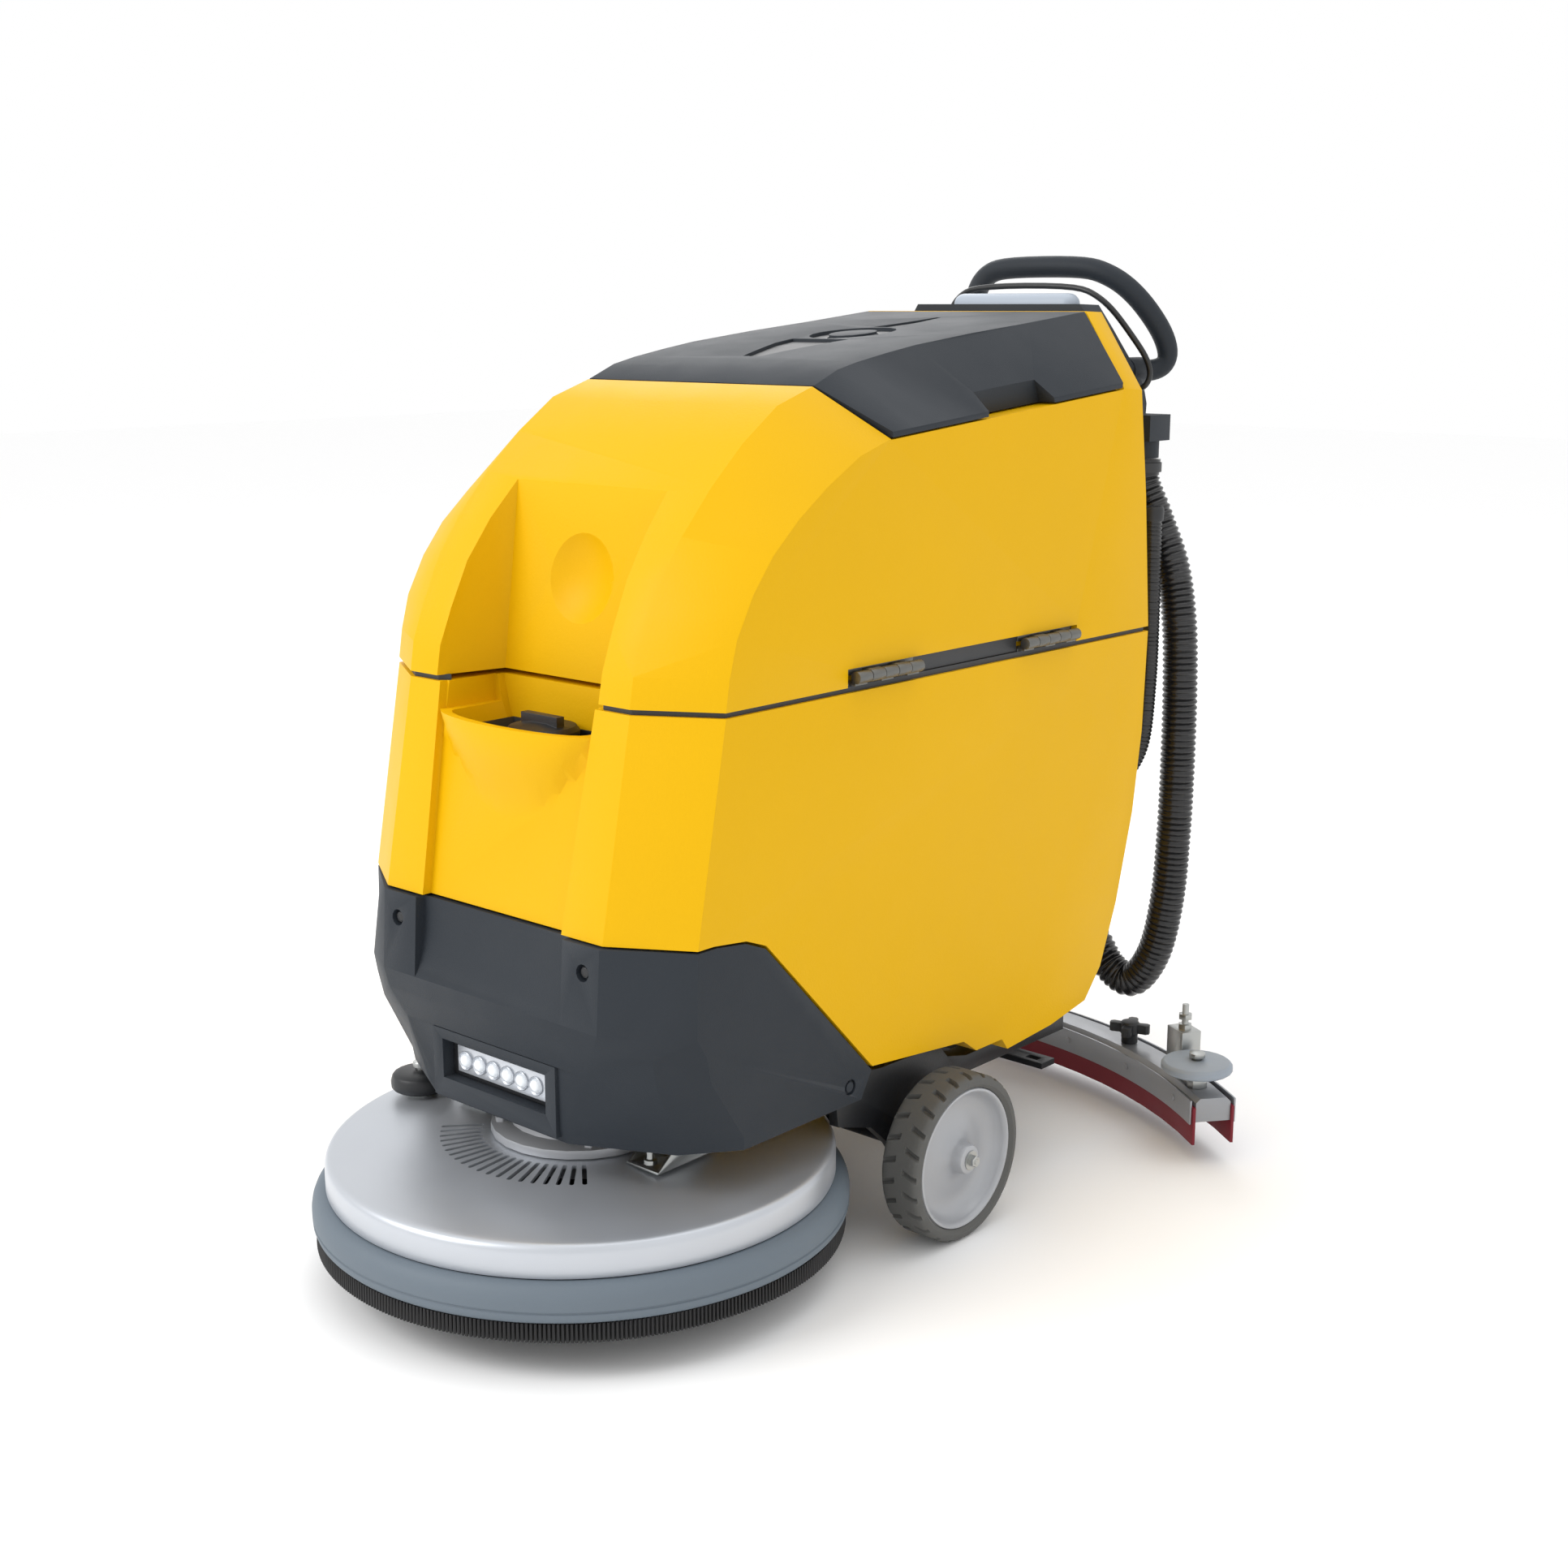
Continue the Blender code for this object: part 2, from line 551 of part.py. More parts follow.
# ---- hinge between the tanks --------------------------------------------------------
def tank_hinge(word, y0, y1):
    """A five-knuckle hinge: three knuckles and the pin stay, two knuckles turn."""
    x, z = HINGE
    pitch = (y1 - y0) / 5
    ends = [(y0 + pitch * k + 0.0004, y0 + pitch * (k + 1) - 0.0004) for k in range(5)]
    profile = [(0, ends[0][0])]
    for a, b in ends[::2]:
        profile += [(PIN_R, a), (HINGE_R, a), (HINGE_R, b), (PIN_R, b)]
    profile[1:2] = []
    profile[-1] = (0, ends[-1][1])
    lower = box(f"hinge_{word}_lower", 0.2268, 0.2298, y0, y1, 0.6055, 0.6135, ZINC)
    upper = box(f"hinge_{word}_upper", 0.2268, 0.2298, y0, y1, 0.6215, 0.6280, ZINC)
    for k, (a, b) in enumerate(ends):
        leaf, low, high = (upper, 0.6228, 0.6262) if k % 2 else (lower, 0.6118, 0.6165)
        fuse(leaf, box("tab", 0.2275, x - 0.001, a + 0.0005, b - 0.0005, low, high, ZINC))
        if k % 2:
            ring = [(PIN_R + 0.0003, a), (HINGE_R, a), (HINGE_R, b), (PIN_R + 0.0003, b)]
            fuse(upper, turned("knuckle", ring, (x, 0, z), ZINC, "Y", 12))
    fuse(lower, turned("knuckles", profile, (x, 0, z), ZINC, "Y", 12))
    pivot(upper, (x, (y0 + y1) / 2, z))
    return lower, upper


# ---- console, handle and controls ---------------------------------------------------
PANEL_FRONT = (0.440, 0.970)
PANEL_REAR = (0.506, 0.909)
PANEL_TILT = math.atan2(PANEL_FRONT[1] - PANEL_REAR[1], PANEL_REAR[0] - PANEL_FRONT[0])
BUTTONS = {"button_brush": -0.075, "button_vacuum": -0.045, "button_water": -0.015}


def on_panel(t, lift=0.0):
    """A (y, z) point t along the sloping control panel, raised by lift."""
    (ya, za), (yb, zb) = PANEL_FRONT, PANEL_REAR
    length = math.hypot(yb - ya, zb - za)
    ny, nz = -(zb - za) / length, (yb - ya) / length
    return (ya + (yb - ya) * t + ny * lift, za + (zb - za) * t + nz * lift)


def console():
    """Control pod on the rear column, with a step for the pale panel."""
    face = [(0.400, 0.808), (0.400, 0.971), PANEL_FRONT, PANEL_REAR, (0.526, 0.884), (0.534, 0.857),
            (0.532, 0.830), (0.523, 0.809)]
    side = [(0.404, 0.812), (0.404, 0.945), (0.440, 0.944), (0.492, 0.897), (0.512, 0.876), (0.520, 0.855),
            (0.518, 0.832), (0.512, 0.812)]
    rings = [[(x, y, z) for y, z in ring] for x, ring in
             ((-0.138, side), (-0.118, face), (0.118, face), (0.138, side))]
    pod = loft("console", rings, CHARCOAL)
    elbow = box("elbow", 0.118, 0.1900, 0.446, 0.490, 0.8150, 0.8450, CHARCOAL)
    spigot = turned("spigot", [(0, 0.7950), (0.0185, 0.7950), (0.0185, 0.8200), (0, 0.8200)],
                    (*SUCTION_ROUTE[0][:2], 0), CHARCOAL, sides=20)
    fuse(pod, elbow)
    fuse(pod, spigot)
    for side in (-1, 1):
        socket = turned("socket", [(0, 0.490), (0.0165, 0.490), (0.0165, 0.5228), (0, 0.5228)],
                        (side * 0.124, 0, 0.893), CHARCOAL, "Y", 16)
        fuse(pod, socket)
    return pod


def panel():
    """Pale control panel on the pod's slope."""
    a = on_panel(0.03, 0.0004)
    b = on_panel(0.97, 0.0004)
    c = on_panel(0.97, 0.0034)
    d = on_panel(0.03, 0.0034)
    plate = side_prism("control_panel", [a, b, c, d], -0.106, 0.106, PALE)
    for x in BUTTONS.values():
        cut(plate, slope_part("hole", [(0, -0.001), (0.0090, -0.001), (0.0090, 0.006), (0, 0.006)], x, 0.62, PALE))
    return plate


def slope_part(name, profile, x, t, look, sides=16):
    """A turned control that stands square on the sloping panel."""
    y, z = on_panel(t)
    part = turned(name, profile, (0, 0, 0), look, "Z", sides)
    part.data.transform(Matrix.Rotation(-PANEL_TILT, 4, "X"))
    part.location = (x, y, z)
    return part


def controls():
    """Three push buttons, a key switch and a round gauge."""
    button = [(0, 0.0036), (0.0085, 0.0036), (0.0085, 0.0085), (0.0075, 0.0098), (0, 0.0098)]
    for name, x in BUTTONS.items():
        slope_part(name, button, x, 0.62, SIGNAL if name == "button_brush" else BLACK)
    key = slope_part("key_switch", [(0, 0.0038), (0.010, 0.0038), (0.010, 0.0075), (0.0, 0.0075)], 0.075, 0.62,
                     ZINC)
    blade = box("blade", -0.0012, 0.0012, -0.008, 0.008, 0.006, 0.020, ZINC)
    blade.data.transform(Matrix.Rotation(-PANEL_TILT, 4, "X"))
    blade.location = key.location
    fuse(key, blade)
    slope_part("battery_gauge", [(0, 0.0038), (0.020, 0.0038), (0.020, 0.0065), (0.0175, 0.0072),
                                 (0, 0.0072)], 0.030, 0.55, BLACK, 24)


def handle_side():
    """Right half of the grip loop, from the console up to the top bar."""
    return [(0.124, 0.5300, 0.893), (0.130, 0.5410, 0.893), (0.1405, 0.5505, 0.8975), (0.1455, 0.5545, 0.910),
            (0.1415, 0.549, 0.933), (0.132, 0.534, 0.958), (0.119, 0.519, 0.981), (0.102, 0.507, 0.9985),
            (0.081, 0.498, 1.0095), (0.057, 0.495, 1.0155)]


def handle():
    """Thick grip loop behind the console."""
    half = handle_side()
    return sweep("handle_loop", half + mirror_x(reversed(half)), HANDLE_R, CHARCOAL, 12)


def bail():
    """Thin dead-man lever that is squeezed towards the grip."""
    y, z = BAIL_PIVOT
    half = [(0.1395, y, z), (0.1455, y, z + 0.0005), (0.1515, y + 0.003, z + 0.007), (0.1525, y + 0.007, z + 0.020),
            (0.148, y + 0.001, z + 0.038), (0.140, y - 0.009, z + 0.055), (0.129, y - 0.022, z + 0.077),
            (0.115, y - 0.031, z + 0.097), (0.096, y - 0.037, z + 0.111), (0.071, y - 0.038, z + 0.120)]
    lever = sweep("bail_lever", half + mirror_x(reversed(half)), BAIL_R, BLACK, 8)
    return pivot(lever, (0, y, z))


def rear_column():
    """Steel column that carries the console and handle behind the tanks."""
    plate = box("rear_column", -0.075, 0.075, 0.4035, 0.4095, 0.140, 0.8070, FRAME)
    foot = box("foot", -0.060, 0.060, 0.2904, 0.408, 0.140, 0.152, FRAME)
    ear = box("ear", -0.086, -0.080, 0.410, 0.452, 0.655, 0.700, FRAME)
    tie = box("tie", -0.082, -0.070, 0.4035, 0.4220, 0.655, 0.700, FRAME)
    fuse(plate, foot)
    fuse(plate, tie)
    fuse(plate, ear)
    return plate


def squeegee_lever():
    """Lever on the column that lowers the squeegee, with a ball grip."""
    hub = turned("squeegee_lever", [(0, -0.099), (0.014, -0.099), (0.014, -0.0865), (0, -0.0865)],
                 (0, 0.435, 0.678), BLACK, "X", 16)
    shank = rod("shank", (-0.0927, 0.435, 0.678), (-0.0927, 0.520, 0.742), 0.0045, BLACK, 10)
    grip = turned("grip", [(0, -0.014), (0.010, -0.010), (0.014, 0.0), (0.010, 0.010), (0, 0.014)],
                  (-0.0927, 0.524, 0.745), BLACK, "Z", 12)
    fuse(hub, shank, grip)
    return pivot(hub, (-0.0927, 0.435, 0.678))


# ---- chassis, power and drive -------------------------------------------------------
def chassis():
    """Black steel frame under the tanks."""
    frame = box("chassis", -0.200, 0.200, 0.060, 0.085, 0.140, 0.160, FRAME)
    parts = []
    for side in (-1, 1):
        x0, x1 = sorted((side * 0.175, side * 0.200))
        parts.append(side_prism("rail", [
            (-0.270, 0.200), (-0.270, 0.225), (-0.125, 0.225), (-0.100, 0.194), (0.040, 0.190), (0.066, 0.168),
            (0.100, 0.160), (0.290, 0.160), (0.290, 0.140), (0.055, 0.140), (0.030, 0.160), (-0.085, 0.170),
            (-0.120, 0.200)], x0, x1, FRAME))
        x0, x1 = sorted((side * 0.196, side * 0.208))
        parts.append(side_prism("cheek", [
            (-0.118, 0.200), (-0.060, 0.192), (0.040, 0.190), (0.062, 0.165), (0.045, 0.075), (-0.020, 0.070),
            (-0.042, 0.100), (-0.075, 0.130), (-0.128, 0.146), (-0.135, 0.195)], x0, x1, FRAME))
    parts.append(box("front_beam", -0.19, 0.19, -0.268, -0.240, 0.290, 0.310, FRAME))
    parts.append(box("post_left", 0.175, 0.190, -0.268, -0.240, 0.21, 0.310, FRAME))
    parts.append(box("post_right", -0.190, -0.175, -0.268, -0.240, 0.21, 0.310, FRAME))
    parts.append(box("rear_beam", -0.200, 0.200, 0.262, 0.290, 0.140, 0.160, FRAME))
    parts.append(box("caster_beam", -0.200, 0.200, CASTER_Y - 0.02, CASTER_Y + 0.02, 0.140, 0.155, FRAME))
    for part in parts:
        fuse(frame, part)
    # holes for the caster stems and the squeegee pivot
    for side in (-1, 1):
        cut(frame, turned("stem", [(0, 0.13), (0.0085, 0.13), (0.0085, 0.150), (0, 0.150)],
                          (side * CASTER_X, CASTER_Y, 0), FRAME, sides=16))
        lug = box("lug", min(side * 0.090, side * 0.098), max(side * 0.090, side * 0.098), 0.250, 0.275,
                  0.114, 0.145, FRAME)
        fuse(frame, lug)
    cut(frame, turned("axle_bore", [(0, -0.22), (0.0090, -0.22), (0.0090, 0.22), (0, 0.22)], (0, AXLE_Y, WHEEL_R),
                      FRAME, "X", 16))
    cut(frame, turned("pivot_bore", [(0, -0.12), (0.0053, -0.12), (0.0053, 0.12), (0, 0.12)],
                      (0, *ARM_PIVOT), FRAME, "X", 16))
    return frame


def transaxle():
    """Drive unit: gear case with the axle tube that carries both wheels."""
    case = side_prism("transaxle", [
        (-0.0115, 0.080), (-0.0115, 0.102), (0.010, 0.118), (0.050, 0.128), (0.058, 0.120), (0.058, 0.066),
        (0.045, 0.058), (0.010, 0.062)], -0.055, 0.055, FRAME)
    tube = turned("tube", [(0, -0.1945), (0.0110, -0.1945), (0.0110, 0.1945), (0, 0.1945)],
                  (0, AXLE_Y, WHEEL_R), FRAME, "X", 16)
    fuse(case, tube)
    ends = turned("ends", [(0, -0.2285), (0.0080, -0.2285), (0.0080, 0.2285), (0, 0.2285)],
                  (0, AXLE_Y, WHEEL_R), FRAME, "X", 16)
    fuse(case, ends)
    return case


def drive_wheel(word, side):
    """Grey tyre on a dished hub."""
    mid = (WHEEL_IN + WHEEL_OUT) / 2
    half = (WHEEL_OUT - WHEEL_IN) / 2
    tyre = [(RIM_R, half - 0.004), (RIM_R + 0.004, half), (WHEEL_R - 0.005, half), (WHEEL_R, half - 0.005),
            (WHEEL_R, -half + 0.005), (WHEEL_R - 0.005, -half), (RIM_R + 0.004, -half), (RIM_R, -half + 0.004)]
    tyre = [(r, side * h) for r, h in tyre]
    pivot(turned(f"tyre_{word}", tyre, (side * mid, AXLE_Y, WHEEL_R), TYRE, "X", 32),
          (side * mid, AXLE_Y, WHEEL_R))
    rim = RIM_R - 0.0003
    dish = [(0, 0.0275), (0.0160, 0.0275), (0.020, 0.010), (0.052, 0.001), (0.068, 0.006),
            (rim - 0.002, half - 0.0028), (rim, half - 0.0045), (rim, -half + 0.004), (rim - 0.006, -half + 0.004),
            (rim - 0.008, -0.006), (0.024, -0.010), (0.024, -half + 0.001), (0, -half + 0.001)]
    dish = [(r, side * h) for r, h in dish]
    hub = turned(f"hub_{word}", dish, (side * mid, AXLE_Y, WHEEL_R), HUB, "X", 32)
    nut = turned("nut", [(0, side * 0.027), (0.0095, side * 0.027), (0.0095, side * 0.0295), (0.0062, side * 0.0295),
                         (0.0062, side * 0.0355), (0, side * 0.0355)], (side * mid, AXLE_Y, WHEEL_R), HUB, "X", 6)
    fuse(hub, nut)
    pivot(hub, (side * mid, AXLE_Y, WHEEL_R))


def caster(word, side):
    """Swivel caster with a trailing fork."""
    x = side * CASTER_X
    axle_y = CASTER_Y + CASTER_TRAIL
    fork = box(f"caster_fork_{word}", x - 0.022, x + 0.022, CASTER_Y - 0.022, CASTER_Y + 0.040, 0.083, 0.0865,
               FRAME)
    race = turned("race", [(0, 0.086), (0.020, 0.086), (0.020, 0.1385), (0.008, 0.1385), (0.008, 0.149),
                           (0, 0.149)], (x, CASTER_Y, 0), FRAME, sides=20)
    legs = []
    for edge in (-1, 1):
        a, b = sorted((x + edge * 0.0165, x + edge * 0.0195))
        legs.append(side_prism("leg", [
            (CASTER_Y - 0.006, 0.084), (CASTER_Y + 0.038, 0.084), (axle_y + 0.010, 0.030), (axle_y - 0.010, 0.030),
        ], a, b, FRAME))
    pin = turned("pin", [(0, -0.0215), (0.0040, -0.0215), (0.0040, 0.0215), (0, 0.0215)],
                 (x, axle_y, CASTER_R), FRAME, "X", 16)
    fuse(fork, race, *legs)
    fuse(fork, pin)
    pivot(fork, (x, CASTER_Y, 0.1))
    wheel = turned(f"caster_wheel_{word}", [
        (0.0043, -0.0120), (CASTER_R - 0.003, -0.0115), (CASTER_R, -0.008),
        (CASTER_R, 0.008), (CASTER_R - 0.003, 0.0115), (0.0043, 0.0120),
    ], (x, axle_y, CASTER_R), BLUE_GREY, "X", 24)
    pivot(wheel, (x, axle_y, CASTER_R))


def power():
    """Pair of batteries in the well, and the vacuum motor in front of them."""
    pack = box("battery_pack", -0.012, 0.012, 0.100, 0.150, 0.300, 0.320, BATTERY)
    for x in (-0.098, 0.098):
        fuse(pack, box("case", x - 0.090, x + 0.090, -0.028, 0.285, 0.2390, 0.470, BATTERY))
        fuse(pack, box("top", x - 0.080, x + 0.080, -0.020, 0.275, 0.469, 0.482, BATTERY))
        for y in (0.005, 0.250):
            fuse(pack, turned("post", [(0, 0.480), (0.008, 0.480), (0.007, 0.500), (0, 0.500)], (x, y, 0), BATTERY,
                              sides=12))
    motor = turned("vacuum_motor", [
        (0, 0.3220), (0.060, 0.3220), (0.064, 0.328), (0.064, 0.420), (0.050, 0.430), (0.050, 0.475), (0.056, 0.480),
        (0.056, 0.515), (0.020, 0.521), (0.020, 0.560), (0, 0.560),
    ], (0.0, -0.0985, 0), BLACK, sides=20)
    fuse(motor, box("plate", -0.085, 0.085, -0.164, -0.033, 0.3220, 0.3250, BLACK))


def float_cage():
    """Ball-float shut-off that hangs in the recovery tank's mouth."""
    cage = turned("float_cage", [(0.0, 0.6565), (0.030, 0.6565), (0.030, 0.790), (0.022, 0.798), (0.022, 0.815),
                                 (0.0, 0.815)], (0.0, 0.215, 0), PALE, sides=20)
    for k in range(4):
        slot = box("slot", -0.006, 0.006, -0.04, 0.04, 0.675, 0.775, PALE)
        slot.data.transform(Matrix.Rotation(math.radians(45 * k), 4, "Z"))
        slot.location = (0, 0.215, 0)
        if k % 2 == 0:
            cut(cage, slot)
        else:
            bpy.data.objects.remove(slot)
    return cage


# ---- brush deck ---------------------------------------------------------------------
def deck_cover():
    """Silver cover: a nearly flat top over a straight wall, with a post for the guide roller."""
    cover = turned("deck_cover", [
        (0.070, DECK_TOP + 0.0035), (0.150, DECK_TOP), (0.215, DECK_TOP - 0.0045), (0.249, DECK_TOP - 0.0090),
        (0.2585, DECK_TOP - 0.0120), (DECK_R, DECK_TOP - 0.0180), (DECK_R, DECK_LOW),
        (DECK_R - 0.004, DECK_LOW), (DECK_R - 0.004, DECK_TOP - 0.0200), (0.249, DECK_TOP - 0.0140),
        (0.150, DECK_TOP - 0.0045), (0.070, DECK_TOP - 0.001),
    ], (*DECK, 0), SILVER, sides=48)
    post = turned("post", [
        (0, 0.1310), (0.016, 0.1310), (0.016, 0.1405), (0.0055, 0.1405), (0.0055, 0.1660), (0.009, 0.1660),
        (0.009, 0.1715), (0, 0.1715)], (*ROLLER, 0), SILVER, sides=12)
    return fuse(cover, post)


def deck_edge():
    """Rubber bumper ring under the cover's edge, and the bristle curtain below it."""
    turned("bumper_ring", [
        (0.2545, 0.0700), (0.2545, 0.0590), (0.2730, 0.0590), (RING_R, 0.0670), (RING_R, 0.0830),
        (0.2700, 0.0955), (0.2600, 0.0968), (0.2600, 0.0700),
    ], (*DECK, 0), BLUE_GREY, sides=48)
    turned("splash_curtain", [
        (0.2640, 0.0585), (0.2640, BRISTLE_LOW), (0.2735, BRISTLE_LOW), (0.2725, 0.0585),
    ], (*DECK, 0), BRISTLE, sides=48)


def scrub_brush():
    """Disc brush that spins under the deck."""
    brush = turned("scrub_brush", [
        (0.0, 0.0900), (0.240, 0.0900), (0.246, 0.0860), (0.250, BRISTLE_LOW + 0.002), (0.095, BRISTLE_LOW + 0.002),
        (0.100, 0.0740), (0.0, 0.0740),
    ], (*DECK, 0), BRISTLE, sides=32)
    drive = turned("drive", [(0, 0.088), (0.030, 0.088), (0.030, 0.1050), (0, 0.1050)], (*DECK, 0), BRISTLE,
                   sides=20)
    fuse(brush, drive)
    return pivot(brush, (*DECK, 0.09))


def brush_motor():
    """Gear motor on the deck, with a flange that clamps the cover."""
    motor = turned("brush_motor", [
        (0, 0.1060), (0.045, 0.1060), (0.068, 0.1120), (0.068, 0.1440), (0.094, 0.1440),
        (0.094, 0.1530), (0.074, 0.1555), (0.070, 0.1720), (0.060, 0.1780), (0.060, 0.255),
        (0.052, 0.262), (0, 0.262),
    ], (*DECK, 0), HUB, sides=24)
    ears = []
    for k in range(4):
        a = math.radians(-128 + 90 * k)
        x, y = DECK[0] + 0.083 * math.cos(a), DECK[1] + 0.083 * math.sin(a)
        ears.append(turned("ear", [(0, 0.1530), (0.0065, 0.1530), (0.0065, 0.1590), (0, 0.1590)], (x, y, 0), HUB,
                           sides=6))
    fuse(motor, *ears)
    return motor


def deck_bracket(word, side):
    """Folded bracket on the cover that the lift arm holds."""
    x = side * 0.128
    rest = DECK_TOP + 0.0025
    plate = box(f"deck_bracket_{word}", x - 0.022, x + 0.022, DECK[1] - 0.040, DECK[1] + 0.040, rest,
                rest + 0.003, ZINC)
    for edge in (-1, 1):
        a, b = sorted((x + edge * 0.019, x + edge * 0.022))
        wing = side_prism("wing", [
            (DECK[1] - 0.040, rest + 0.001), (DECK[1] + 0.040, rest + 0.001), (DECK[1] + 0.012, rest + 0.024),
            (DECK[1] - 0.012, rest + 0.024)], a, b, ZINC)
        fuse(plate, wing)
    bolt = turned("bolt", [(0, -0.026), (0.0045, -0.026), (0.0045, 0.026), (0, 0.026)],
                  (x, DECK[1], rest + 0.016), ZINC, "X", 10)
    fuse(plate, bolt)
    stud = turned("stud", [(0, rest + 0.002), (0.007, rest + 0.002), (0.007, rest + 0.008), (0.004, rest + 0.008),
                           (0.004, rest + 0.020), (0, rest + 0.020)], (x, DECK[1] - 0.028, 0), ZINC, sides=8)
    fuse(plate, stud)
    return plate


def wall_roller():
    """Guide roller on the post at the deck's right edge."""
    x, y = ROLLER
    roller = turned("wall_roller", [
        (0.0058, 0.1410), (0.029, 0.1410), (0.033, 0.1440), (0.0335, 0.1500), (0.031, 0.1585), (0.024, 0.1610),
        (0.012, 0.1620), (0.0058, 0.1620)], (x, y, 0), BLACK, sides=20)
    return pivot(roller, (x, y, 0.150))


# ---- squeegee -----------------------------------------------------------------------
def arc_band(name, inner, outer, z0, z1, look, half=SQUEEGEE_HALF, steps=18, bevel=0.0):
    """A band between two radii about the squeegee's arc centre."""
    rings = []
    for k in range(steps + 1):
        a = -half + 2 * half * k / steps
        ring = []
        for r, z in ((inner, z0), (outer, z0), (outer, z1 - bevel), (outer - bevel, z1), (inner + bevel, z1),
                     (inner, z1 - bevel)):
            ring.append((r * math.sin(a), SQUEEGEE_Y + r * math.cos(a), z))
        rings.append(ring if bevel else ring[:3] + ring[5:])
    return loft(name, rings, look)


def arc_point(angle, radius=SQUEEGEE_ARC):
    a = math.radians(angle)
    return radius * math.sin(a), SQUEEGEE_Y + radius * math.cos(a)


def squeegee_body():
    """Curved channel that carries both blades, with the suction port in its middle."""
    channel = arc_band("squeegee_body", SQUEEGEE_ARC - 0.021, SQUEEGEE_ARC + 0.021, CHANNEL_LOW, CHANNEL_TOP,
                       SILVER, bevel=0.005)
    under = arc_band("under", SQUEEGEE_ARC - 0.016, SQUEEGEE_ARC + 0.016, CHANNEL_LOW - 0.01, CHANNEL_TOP - 0.008,
                     SILVER, half=SQUEEGEE_HALF - 0.012)
    cut(channel, under)
    port = turned("port", [(0, CHANNEL_TOP - 0.003), (0.0225, CHANNEL_TOP - 0.003), (0.0225, 0.088),
                           (0.0165, 0.090), (0.0165, 0.128), (0, 0.128)], (0, PORT_Y, 0), SILVER, sides=16)
    bore = turned("bore", [(0, CHANNEL_LOW), (0.0140, CHANNEL_LOW), (0.0140, 0.14), (0, 0.14)], (0, PORT_Y, 0),
                  SILVER, sides=16)
    fuse(channel, port)
    cut(channel, bore)
    return pivot(channel, (0, PORT_Y, 0.08))


def squeegee_blades():
    """Front and rear wiping blades, each clamped to its side of the channel."""
    front = arc_band("blade_front", SQUEEGEE_ARC - 0.0250, SQUEEGEE_ARC - 0.0215, BLADE_LOW, 0.0700, RED,
                     half=SQUEEGEE_HALF + 0.004)
    rear = arc_band("blade_rear", SQUEEGEE_ARC + 0.0215, SQUEEGEE_ARC + 0.0250, BLADE_LOW, 0.0700, RED,
                    half=SQUEEGEE_HALF + 0.004)
    for blade in (front, rear):
        pivot(blade, (0, PORT_Y, 0.08))


def squeegee_fittings(word, side):
    """Star knob, guide roller and adjuster bracket on one half of the squeegee."""
    x, y = arc_point(side * 19.0)
    star = [(0, 0.0810), (0.0100, 0.0810), (0.0100, 0.0920), (0.0120, 0.0940), (0.0120, 0.1060), (0.0100, 0.1080),
            (0, 0.1080)]
    knob = turned(f"squeegee_knob_{word}", star, (x, y, 0), BLACK, sides=16)
    for k in range(4):
        lobe = plan_prism("lobe", [(0.004, -0.0045), (0.021, -0.006), (0.0245, -0.003), (0.0245, 0.003),
                                   (0.021, 0.006), (0.004, 0.0045)], 0.0945, 0.1055, BLACK)
        lobe.data.transform(Matrix.Rotation(math.radians(90 * k + 20), 4, "Z"))
        lobe.location = (x, y, 0)
        fuse(knob, lobe)
    pivot(knob, (x, y, 0.1))

    x, y = arc_point(side * 34.0, SQUEEGEE_ARC - 0.004)
    disc = turned(f"squeegee_roller_{word}", [
        (0.0058, 0.0990), (0.038, 0.0990), (0.0415, 0.1020), (0.0415, 0.1075), (0.038, 0.1110), (0.0058, 0.1130),
    ], (x, y, 0), BLUE_GREY, sides=24)
    pivot(disc, (x, y, 0.105))

    bx, by = arc_point(side * 28.0, SQUEEGEE_ARC + 0.001)
    rest = CHANNEL_TOP + 0.0004
    plate = turned(f"squeegee_bracket_{word}", [
        (0, rest), (0.0130, rest), (0.0130, rest + 0.010), (0.0055, rest + 0.012), (0.0055, 0.1160),
        (0.0095, 0.1160), (0.0095, 0.1210), (0, 0.1210)], (x, y, 0), ZINC, sides=12)
    strap = loft("strap", [
        [(px, py, z) for px, py in (
            (x - side * 0.010, y - 0.004), (x + side * 0.010, y + 0.004), (bx + side * 0.016, by + 0.012),
            (bx - side * 0.016, by - 0.004))]
        for z in (rest + 0.0002, rest + 0.0032)
    ], ZINC)
    tower = box("tower", -0.017, 0.017, -0.0015, 0.0015, rest, 0.128, ZINC)
    shelf = box("shelf", -0.0165, 0.0165, -0.0010, 0.024, 0.125, 0.1282, ZINC)
    screw = turned("screw", [(0, rest + 0.001), (0.004, rest + 0.001), (0.004, 0.158), (0, 0.158)], (0, 0.012, 0),
                   ZINC, sides=8)
    nuts = [turned("nut", [(0, z), (0.0085, z), (0.0085, z + 0.006), (0, z + 0.006)], (0, 0.012, 0), ZINC, sides=6)
            for z in (0.1275, 0.140)]
    foot = box("foot", -0.012, 0.012, -0.0010, 0.020, rest + 0.0004, rest + 0.0036, ZINC)
    for part in (tower, shelf, screw, foot, *nuts):
        part.data.transform(Matrix.Rotation(math.radians(-side * 28), 4, "Z"))
        part.location = (bx, by, 0)
        fuse(plate, part)
    fuse(plate, strap)
    pivot(plate, (0, PORT_Y, 0.08))


